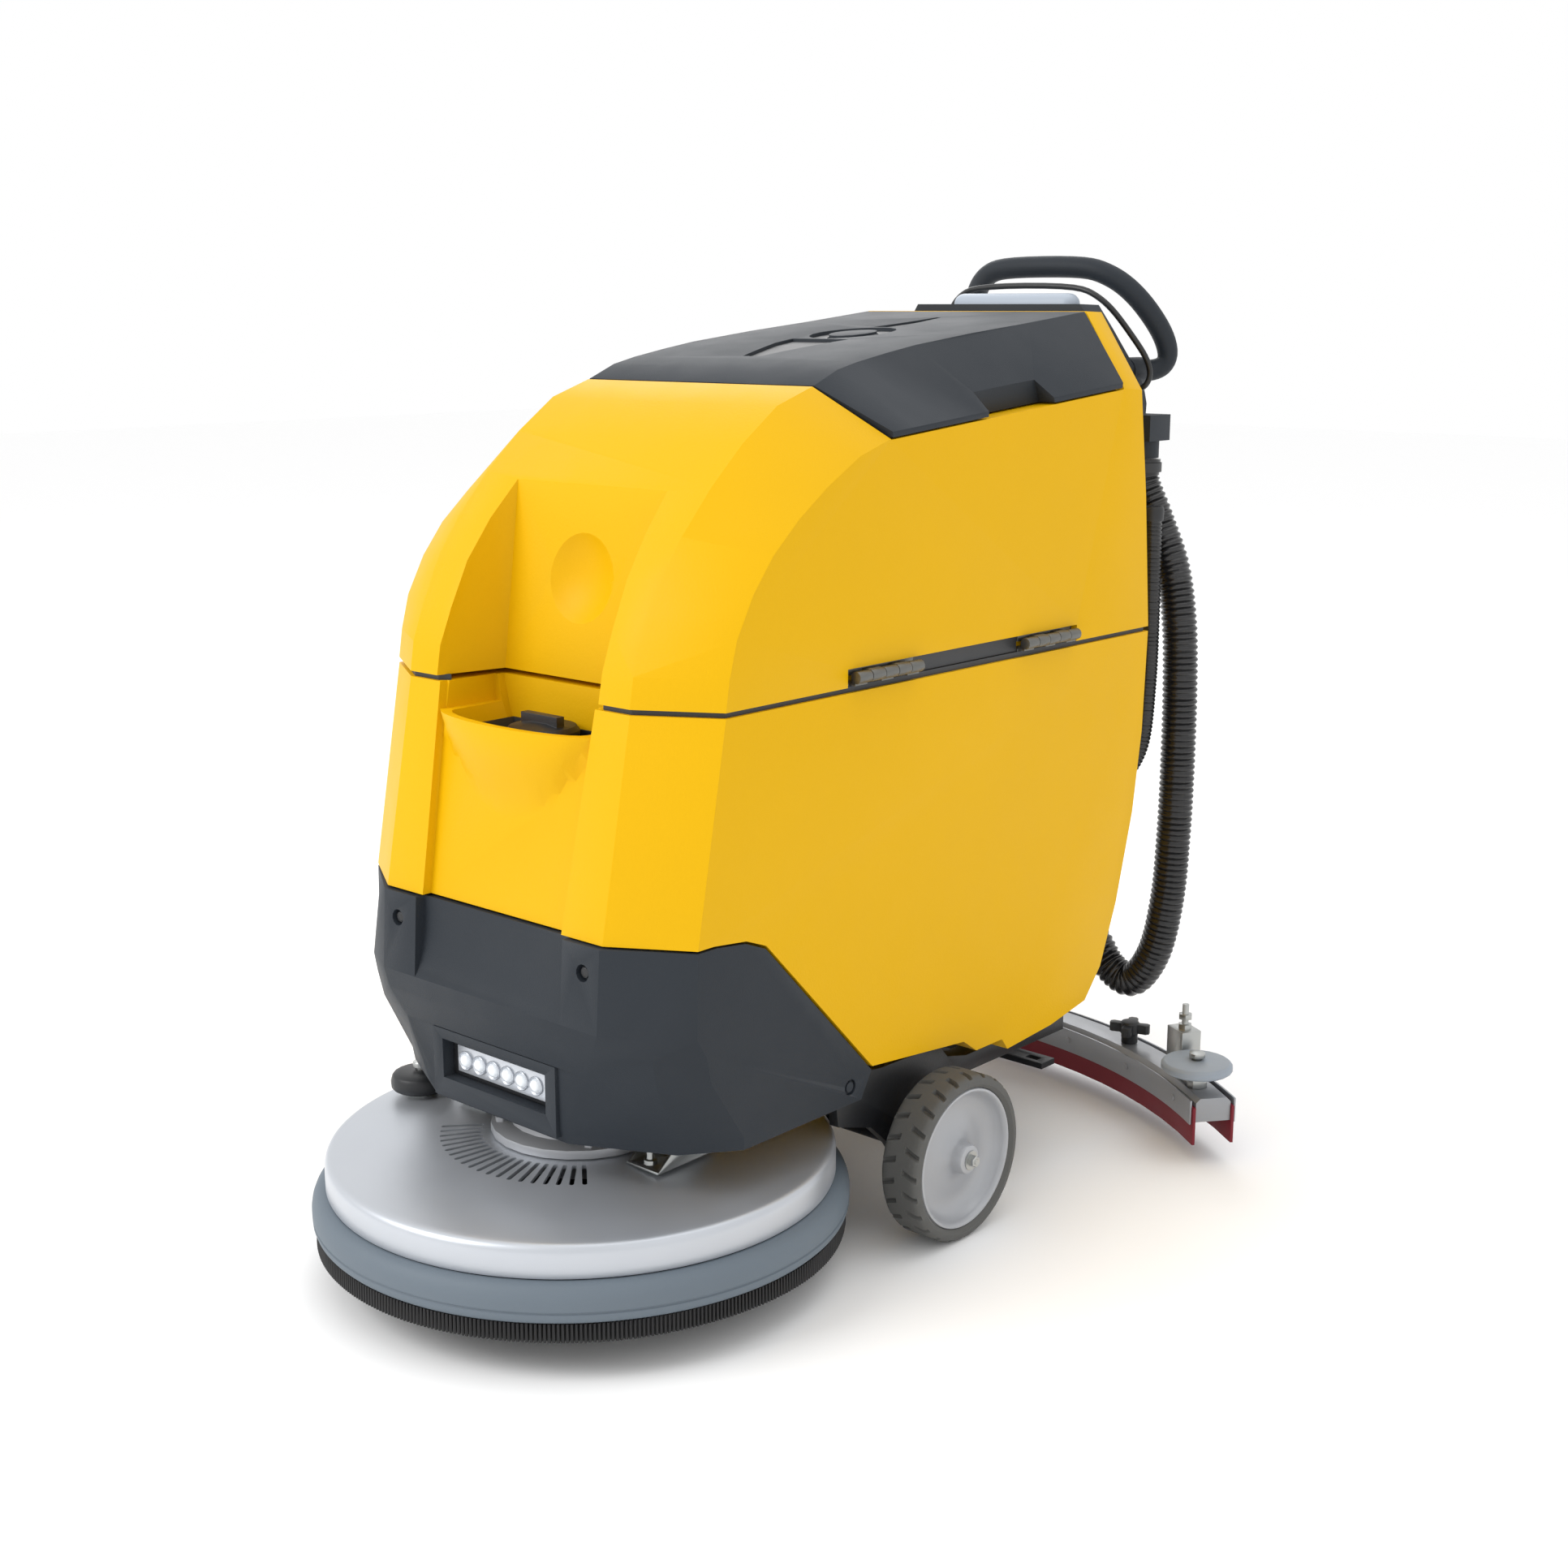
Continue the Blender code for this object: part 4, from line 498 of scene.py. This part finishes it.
# radius of the brush's first row, the step to the next, the rows, and the gap between bunches
BRUSH_FIRST, BRUSH_STEP, BRUSH_ROWS, TUFT_GAP = 0.104, 0.0176, 9, 0.0165


def slot_cutters(centre):
    """Round-ended cutters for the dome's fan of cooling slots."""
    bm = bmesh.new()
    tall = 0.04
    end_shape = {"cap_ends": True, "segments": 16, "radius1": SLOT_WIDE / 2, "radius2": SLOT_WIDE / 2,
                 "depth": tall}
    # the round ends' centres stand a hair past the bar's corners, so that no two edges coincide
    end_offset = SLOT_LONG / 2 + 5e-5
    for k in range(SLOT_COUNT):
        turn = Matrix.Translation(centre) @ Matrix.Rotation(math.radians(SLOT_FIRST + SLOT_STEP * k), 4, "Z")
        bar(bm, turn @ Matrix.Translation((0, -SLOT_MIDDLE, DOME_TOP)), (SLOT_WIDE, SLOT_LONG, tall))
        for end in (-SLOT_MIDDLE - end_offset, -SLOT_MIDDLE + end_offset):
            bmesh.ops.create_cone(bm, matrix=turn @ Matrix.Translation((0, end, DOME_TOP)), **end_shape)
    return mesh_from(bm, "slots")


def without(mesh, cutters):
    """The mesh with the cutters' shape taken out of it."""
    holders = [bpy.data.objects.new("holder", part) for part in (mesh, cutters)]
    for holder in holders:
        bpy.context.scene.collection.objects.link(holder)
    step = holders[0].modifiers.new("cut", "BOOLEAN")
    step.operation = "DIFFERENCE"
    step.solver = "EXACT"
    step.use_self = True
    step.object = holders[1]
    graph = bpy.context.evaluated_depsgraph_get()
    result = bpy.data.meshes.new_from_object(holders[0].evaluated_get(graph))
    for holder in holders:
        bpy.data.objects.remove(holder)
    return result


def deck():
    """Silver dome, guide roller's post, rubber ring, bristle curtain and disc brush."""
    low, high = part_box("bumper_ring")
    centre = Vector(((low.x + high.x) / 2, (low.y + high.y) / 2, 0.0))
    top, edge = DOME_TOP, DOME_EDGE
    dome = [(0.070, top + 0.0035), (0.110, top + 0.0022), (0.150, top), (0.185, top - 0.0022),
            (0.215, top - 0.0043), (0.235, top - 0.0064), (0.2490, top - 0.0082), (0.2545, top - 0.0090),
            (0.2578, top - 0.0100), (0.2602, top - 0.0120), (0.2616, top - 0.0148), (edge, top - 0.0180),
            (edge, 0.1000), (edge - 0.001, 0.0980), (edge - 0.004, 0.0980), (edge - 0.004, top - 0.0220),
            (0.249, top - 0.0140), (0.150, top - 0.0035), (0.070, top - 0.0005)]
    mesh = without(lathe(dome, centre, "Z", 192), slot_cutters(centre))
    piece("deck_cover_slotted", mesh, "silver_paint", "deck", ("deck_cover",), smooth=28.0)

    x, y = JOINTS["guide_roller_spin"]["pos_m"][:2]
    post = lathe([(0, 0.1310), (0.0160, 0.1310), (0.0160, 0.1396), (0.0150, 0.1405), (0.0055, 0.1405),
                  (0.0055, 0.1655), (0.0090, 0.1660), (0.0090, 0.1705), (0.0080, 0.1715), (0, 0.1715)],
                 (x, y, 0), "Z", 48)
    piece("roller_post", post, "zinc_steel", "deck")

    ring = [(0.2545, 0.0700), (0.2545, 0.0590), (0.2700, 0.0590), (0.2728, 0.0598), (0.2752, 0.0622),
            (0.2764, 0.0655), (0.2766, 0.0690), (0.2755, 0.0700), (0.2755, 0.0712), (0.2768, 0.0722),
            (0.2768, 0.0790), (0.2760, 0.0840), (0.2742, 0.0885), (0.2715, 0.0925), (0.2680, 0.0950),
            (0.2640, 0.0965), (0.2600, 0.0968), (0.2600, 0.0700)]
    piece("bumper_ring_soft", lathe(ring, centre, "Z", 192), "ring_rubber", "deck", ("bumper_ring",),
          smooth=45.0)

    mesh = tufts(centre, CURTAIN, 0.0588, 0.0402, 0.0013, 0.0005)
    piece("curtain_tufts", mesh, "bristle_black", "deck", ("splash_curtain",), smooth=40.0)
    plate = lathe([(0.0, 0.1050), (0.030, 0.1050), (0.030, 0.0905), (0.240, 0.0900), (0.246, 0.0860),
                   (0.246, 0.0745), (0.0, 0.0740)], centre, "Z", 96)
    piece("brush_plate", plate, "black_plastic", "brush", ("scrub_brush",), smooth=35.0)
    rows = [BRUSH_FIRST + BRUSH_STEP * k for k in range(BRUSH_ROWS)]
    rows = [(reach, round(2 * math.pi * reach / TUFT_GAP)) for reach in rows]
    mesh = tufts(centre, rows, 0.0755, 0.0422, 0.0052, 0.0012)
    piece("brush_tufts", mesh, "bristle_black", "brush", smooth=40.0)


def tufts(centre, rows, top, low, radius, flare):
    """Bunches of bristles in (radius, count) rings, each a little wider near its tip."""
    bm = bmesh.new()
    for reach, count in rows:
        for k in range(count):
            a = 2 * math.pi * k / count
            place = Vector((reach * math.cos(a), reach * math.sin(a), 0)) + Vector(centre)
            ends = []
            for z, r in ((top, radius), (low + 0.002, radius + flare), (low, radius + flare * 0.4)):
                lean = 0.0006 * math.sin(7.0 * a + reach * 300)
                ends.append([bm.verts.new((place.x + lean + r * math.cos(b), place.y + r * math.sin(b), z))
                             for b in [math.pi * n / 3 for n in range(6)]])
            for upper, lower in zip(ends, ends[1:]):
                for n in range(6):
                    m = (n + 1) % 6
                    bm.faces.new((upper[n], upper[m], lower[m], lower[n]))
            bm.faces.new(ends[0])
            bm.faces.new(ends[-1])
    return mesh_from(bm, "tufts", outward=True)


# ---- lamp and panel -----------------------------------------------------------------
def lamp():
    """Row of six lenses, each in its own bright cup."""
    low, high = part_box("lamp_lens")
    z = (low.z + high.z) / 2
    face = high.y
    bm = bmesh.new()
    size = (high.x - low.x, 0.002, high.z - low.z)
    bar(bm, Matrix.Translation(((low.x + high.x) / 2, face - 0.001, z)), size)
    mesh = applied(mesh_from(bm, "plate"), bevel={"width": 0.0008, "segments": 2})
    piece("lamp_plate", mesh, "silver_paint", "machine", ("lamp_lens",))
    count, gap = 6, 0.021
    cup = [(0.0060, 0.0), (0.0096, 0.0), (0.0098, -0.0018), (0.0092, -0.0024), (0.0076, -0.0006)]
    arc = [(0.0074 * math.cos(math.radians(b)), -0.0004 - 0.0052 * math.sin(math.radians(b)))
           for b in range(0, 90, 12)]
    cups, domes = [], []
    for k in range(count):
        at = (gap * (k - (count - 1) / 2), face - 0.002, z)
        cups.append(lathe(cup, at, "Y", 40))
        domes.append(lathe([(0, 0.0)] + arc + [(0, -0.0056)], at, "Y", 32))
    piece("lamp_cups", merged(cups), "silver_paint", "machine", smooth=30.0)
    piece("lamp_domes", merged(domes), "clear_lens", "machine", smooth=50.0)


def panel_details():
    """A raised mark under each button, and a row of lit bars on the charge gauge."""
    out = Vector(JOINTS["key_turn"]["axis"]).normalized()
    down = Vector((0, out.z, -out.y))
    tilt = Matrix.Rotation(-math.atan2(out.y, out.z), 4, "X")
    low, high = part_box("battery_gauge")
    gauge = (low + high) / 2
    marks = bmesh.new()
    for name in ("button_brush", "button_vacuum", "button_water"):
        low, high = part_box(name)
        button = (low + high) / 2
        bar(marks, Matrix.Translation(button + down * 0.017 - out * 0.0030) @ tilt, (0.014, 0.0022, 0.0008))
    piece("panel_marks", mesh_from(marks, "marks"), "black_plastic", "machine")
    lit = bmesh.new()
    count, gap = 5, 0.0052
    for k in range(count):
        across = Vector((gap * (k - count // 2), 0, 0))
        bar(lit, Matrix.Translation(gauge + across + out * 0.0016) @ tilt, (0.0034, 0.011, 0.0012))
    piece("gauge_bars", mesh_from(lit, "bars"), "button_green", "machine")


def seam_gasket():
    """Black seal in the seam between the tanks, and black strips in the slot between the hinges as painted
    shade.
    """
    side, face, front, rear = 0.2310, 0.1560, -0.3630, 0.3940
    wide, low, high = 0.009, 0.6046, 0.6108
    outline = [(0.119, front), (face, front), (side, -0.3180), (side, rear - 0.0120), (face, rear)]
    outline += [(-x, y) for x, y in reversed(outline)]
    bm = bmesh.new()
    rings = []
    for x, y in outline:
        inward = Vector((-math.copysign(wide, x), -math.copysign(wide, y), 0))
        ring = [Vector((x, y, z)) for z in (low, high)]
        ring += [point + inward for point in reversed(ring)]
        rings.append([bm.verts.new(point) for point in ring])
    for a, b in zip(rings, rings[1:]):
        for k in range(4):
            bm.faces.new((a[k], a[(k + 1) % 4], b[(k + 1) % 4], b[k]))
    bm.faces.new(rings[0])
    bm.faces.new(rings[-1])
    piece("seam_gasket", mesh_from(bm, "gasket", outward=True), "black_plastic", "machine", smooth=20.0)
    # black strips at the back of the hinge slot: painted shade for the shadow in the slot
    bm = bmesh.new()
    for y0, y1 in ((-0.148, -0.145), (-0.042, 0.135), (0.235, 0.238)):
        bar(bm, Matrix.Translation((0.2275, (y0 + y1) / 2, 0.6198)), (0.0025, y1 - y0, 0.0170))
    piece("hinge_slot_shade_strips", mesh_from(bm, "slot_shade"), "black_plastic", "recovery")


# (y, z) along the middle of the lid's top, as in the CAD model
LID_TOP = ((-0.1125, 0.8935), (-0.077, 0.908), (-0.046, 0.915), (0.0, 0.923), (0.045, 0.930),
           (0.141, 0.941), (0.243, 0.951), (0.351, 0.9625))


def on_lid(x, y, sunk):
    """A point sunk below the lid's sloping top, as x, y and z."""
    for (y0, z0), (y1, z1) in zip(LID_TOP, LID_TOP[1:]):
        if y <= y1:
            break
    return x, y, z0 + (z1 - z0) * (y - y0) / (y1 - y0) - sunk


# (y, half width) down the lid's sunk wedge and tail, each with the depth of its dark sheet of painted shade
LID_STRIPS = (
    (((-0.0290, 0.0112), (0.0, 0.0196), (0.045, 0.0328), (0.079, 0.0388)), 0.0032),
    (((0.191, 0.0150), (0.243, 0.0086), (0.289, 0.0024)), 0.0022),
)
LID_OVAL_Y, LID_OVAL_HALF = 0.135, (0.047, 0.050)


def lid_recess_shade():
    """Dark, slightly glossier sheets on the floors of the lid's three sunk shapes, a wedge, an oval ring and
    a tail: painted shade in the recesses.
    """
    bm = bmesh.new()
    for widths, sunk in LID_STRIPS:
        rows = []
        for (y0, half0), (y1, half1) in zip(widths, widths[1:]):
            for k in range(5):
                y = y0 + (y1 - y0) * k / 4
                half = half0 + (half1 - half0) * k / 4
                rows.append([bm.verts.new(on_lid(x, y, sunk)) for x in (-half, 0.0, half)])
        for a, b in zip(rows, rows[1:]):
            for k in range(2):
                bm.faces.new((a[k], a[k + 1], b[k + 1], b[k]))
    rings = []
    steps = 48
    for k in range(steps):
        a = 2 * math.pi * k / steps
        x, y = LID_OVAL_HALF[0] * math.cos(a), LID_OVAL_HALF[1] * math.sin(a)
        ring = [on_lid(x * size, LID_OVAL_Y + y * size, 0.0037) for size in (0.585, 0.970)]
        rings.append([bm.verts.new(point) for point in ring])
    for a, b in zip(rings, rings[1:] + rings[:1]):
        bm.faces.new((a[0], a[1], b[1], b[0]))
    bmesh.ops.remove_doubles(bm, verts=bm.verts, dist=1e-6)
    # black sheets on the recess floors, darker than the lid: painted shade
    mesh = applied(mesh_from(bm, "recess_shade_sheet", outward=True), solidify={"thickness": 0.0006})
    piece("lid_recess_shade", mesh, "black_plastic", "lid")


def column_bolts():
    """Hex screws that hold the column to the console's bracket and to its foot."""
    washer = [(0, 0.0004), (0.0085, 0.0004), (0.0085, 0.0014), (0, 0.0014)]
    head = [(0, 0.0010), (0.0062, 0.0010), (0.0062, 0.0046), (0.0054, 0.0054), (0, 0.0054)]
    face = 0.4093
    screws = []
    for x, z in ((-0.052, 0.785), (0.052, 0.785), (-0.052, 0.180), (0.052, 0.180)):
        screws.append(lathe(washer, (x, face, z), "Y", 32))
        screws.append(lathe(head, (x, face, z), "Y", 6))
    piece("column_screws", merged(screws), "zinc_steel", "machine", smooth=25.0)


# the squeegee is an arc about a point ahead of it: radii in metres, angles in degrees
ARC_CENTRE_Y = -0.123
STRAP_INNER, STRAP_OUTER, STRAP_THICK = 0.5722, 0.6278, 0.0024
STRAP_LOW, STRAP_HIGH, STRAP_REACH = 0.0490, 0.0780, 37.9
BRACKET_ARC, BRACKET_ANGLE = 0.601, 28.0


def on_arc(radius, angle, z):
    """A point on an arc about the squeegee's centre, at an angle from straight back."""
    return radius * math.sin(angle), radius * math.cos(angle) + ARC_CENTRE_Y, z


def arc_band(bm, inner, outer):
    """Add a strap between two radii about the squeegee's centre."""
    rings = []
    steps = 72
    for k in range(steps + 1):
        a = math.radians(STRAP_REACH * (2 * k / steps - 1))
        rings.append([bm.verts.new(on_arc(r, a, z)) for r, z in (
            (inner, STRAP_LOW), (outer, STRAP_LOW), (outer, STRAP_HIGH), (inner, STRAP_HIGH))])
    for a, b in zip(rings, rings[1:]):
        for k in range(4):
            bm.faces.new((a[k], a[(k + 1) % 4], b[(k + 1) % 4], b[k]))
    bm.faces.new(rings[0])
    bm.faces.new(rings[-1])


def squeegee_details():
    """Clamp straps that hold both blades, and the folded sides of the adjuster brackets."""
    bm = bmesh.new()
    arc_band(bm, STRAP_INNER, STRAP_INNER + STRAP_THICK)
    arc_band(bm, STRAP_OUTER - STRAP_THICK, STRAP_OUTER)
    screw = {"cap_ends": True, "segments": 16, "radius1": 0.0042, "radius2": 0.0042, "depth": 0.0030}
    for radius in (STRAP_INNER, STRAP_OUTER):
        for degrees in range(-33, 34, 11):
            a = math.radians(degrees)
            turn = Matrix.Rotation(-a, 4, "Z") @ Matrix.Rotation(math.radians(90), 4, "X")
            bmesh.ops.create_cone(bm, matrix=Matrix.Translation(on_arc(radius, a, 0.0640)) @ turn, **screw)
    mesh = applied(mesh_from(bm, "straps", outward=True), bevel={"width": 0.0005, "segments": 2})
    piece("squeegee_straps", mesh, "channel_aluminium", "squeegee")
    for word, side in (("left", 1), ("right", -1)):
        a = math.radians(side * BRACKET_ANGLE)
        place = Matrix.Translation(on_arc(BRACKET_ARC, a, 0.1050)) @ Matrix.Rotation(-a, 4, "Z")
        bm = bmesh.new()
        for edge in (-0.0160, 0.0160):
            bar(bm, place @ Matrix.Translation((edge, 0.0115, 0)), (0.0022, 0.0250, 0.0462))
        mesh = applied(mesh_from(bm, "cheeks"), bevel={"width": 0.0006, "segments": 2})
        piece(f"squeegee_bracket_{word}_sides", mesh, "zinc_steel", "squeegee")


def visor():
    """Rounded hood over the control panel's front edge."""
    bm = bmesh.new()
    bar(bm, Matrix.Translation((0, 0.4400, 0.9665)), (0.176, 0.030, 0.034))
    mesh = applied(mesh_from(bm, "visor"), bevel={"width": 0.0130, "segments": 6})
    piece("console_visor", mesh, "panel_grey", "machine", smooth=50.0)


# ---- everything else ----------------------------------------------------------------
# node: (width of its rounded edges, segments across them)
ROUNDING = {
    "solution_tank": (0.0070, 4), "recovery_tank": (0.0070, 4), "recovery_lid": (0.0040, 3),
    "front_skirt": (0.0045, 3), "skirt_bolt_left": (0.0008, 2), "skirt_bolt_right": (0.0008, 2),
    "lamp_body": (0.0010, 2), "filler_tray": (0.0012, 2), "filler_cap": (0.0016, 3),
    "hinge_front_lower": (0.0006, 2), "hinge_front_upper": (0.0006, 2), "hinge_rear_lower": (0.0006, 2),
    "hinge_rear_upper": (0.0006, 2), "console": (0.0060, 4), "control_panel": (0.0012, 3),
    "battery_gauge": (0.0008, 2), "rear_column": (0.0020, 3), "squeegee_lever": (0.0015, 3),
    "chassis": (0.0015, 2), "transaxle": (0.0015, 2), "battery_pack": (0.0030, 3),
    "vacuum_motor": (0.0015, 2), "float_cage": (0.0015, 2), "brush_motor": (0.0012, 2),
    "wall_roller": (0.0020, 3), "squeegee_body": (0.0012, 3), "squeegee_arm": (0.0010, 2),
    "hose_clip": (0.0012, 2), "button_brush": (0.0006, 2), "button_vacuum": (0.0006, 2),
    "button_water": (0.0006, 2), "key_switch": (0.0006, 2), "blade_front": (0.0004, 2),
    "blade_rear": (0.0004, 2),
}
for word in ("left", "right"):
    ROUNDING.update({
        f"caster_fork_{word}": (0.0008, 2), f"caster_wheel_{word}": (0.0015, 3),
        f"deck_bracket_{word}": (0.0008, 2), f"squeegee_knob_{word}": (0.0018, 3),
        f"squeegee_roller_{word}": (0.0012, 3), f"squeegee_bracket_{word}": (0.0006, 2),
    })


def studio():
    """Pale floor, soft key from the machine's front right, broad fills and a white surround."""
    bm = bmesh.new()
    bmesh.ops.create_grid(bm, x_segments=1, y_segments=1, size=14.0)
    mesh = mesh_from(bm, "floor")
    floor = bpy.data.objects.new("floor", mesh)
    bpy.context.scene.collection.objects.link(floor)
    mesh.materials.append(surface("floor_sweep", (0.985, 0.985, 0.985), 0.90, blotch=0.003, sheen=0.2))
    for name, place, size, power in (
        ("key", (-1.6, -3.4, 3.0), 2.4, 90.0),
        ("side", (3.8, -0.6, 2.2), 2.6, 4.0),
        ("top", (0.4, 0.6, 3.8), 3.0, 20.0),
        ("back", (-2.6, 3.0, 2.6), 2.4, 30.0),
    ):
        light = bpy.data.objects.new(name, bpy.data.lights.new(name, "AREA"))
        bpy.context.scene.collection.objects.link(light)
        light.location = place
        light.data.size = size
        light.data.energy = power
        light.rotation_euler = (Vector((0, 0, 0.45)) - Vector(place)).to_track_quat("-Z", "Y").to_euler()
    world = bpy.data.worlds.new("studio")
    bpy.context.scene.world = world
    world.use_nodes = True
    world.node_tree.nodes["Background"].inputs["Color"].default_value = (1.0, 1.0, 1.0, 1.0)
    world.node_tree.nodes["Background"].inputs["Strength"].default_value = 1.0
    bpy.context.scene.view_settings.view_transform = "Standard"


hoses()
for name, (width, segments) in ROUNDING.items():
    rounded(name, width, segments)
flowing("handle_loop")
flowing("bail_lever")
for word, side in (("left", 1), ("right", -1)):
    tyre(word)
    hub(word, side)
deck()
lamp()
panel_details()
seam_gasket()
squeegee_details()
lid_recess_shade()
column_bolts()
visor()
clamp_band("clamp_top", (*SUCTION_ROUTE[0][:2], 0.7840), CLAMP_R, "black_plastic", "machine")
clamp_band("clamp_bottom", (*SUCTION_ROUTE[-1][:2], 0.1420), CLAMP_R, "zinc_steel", "arm")
studio()
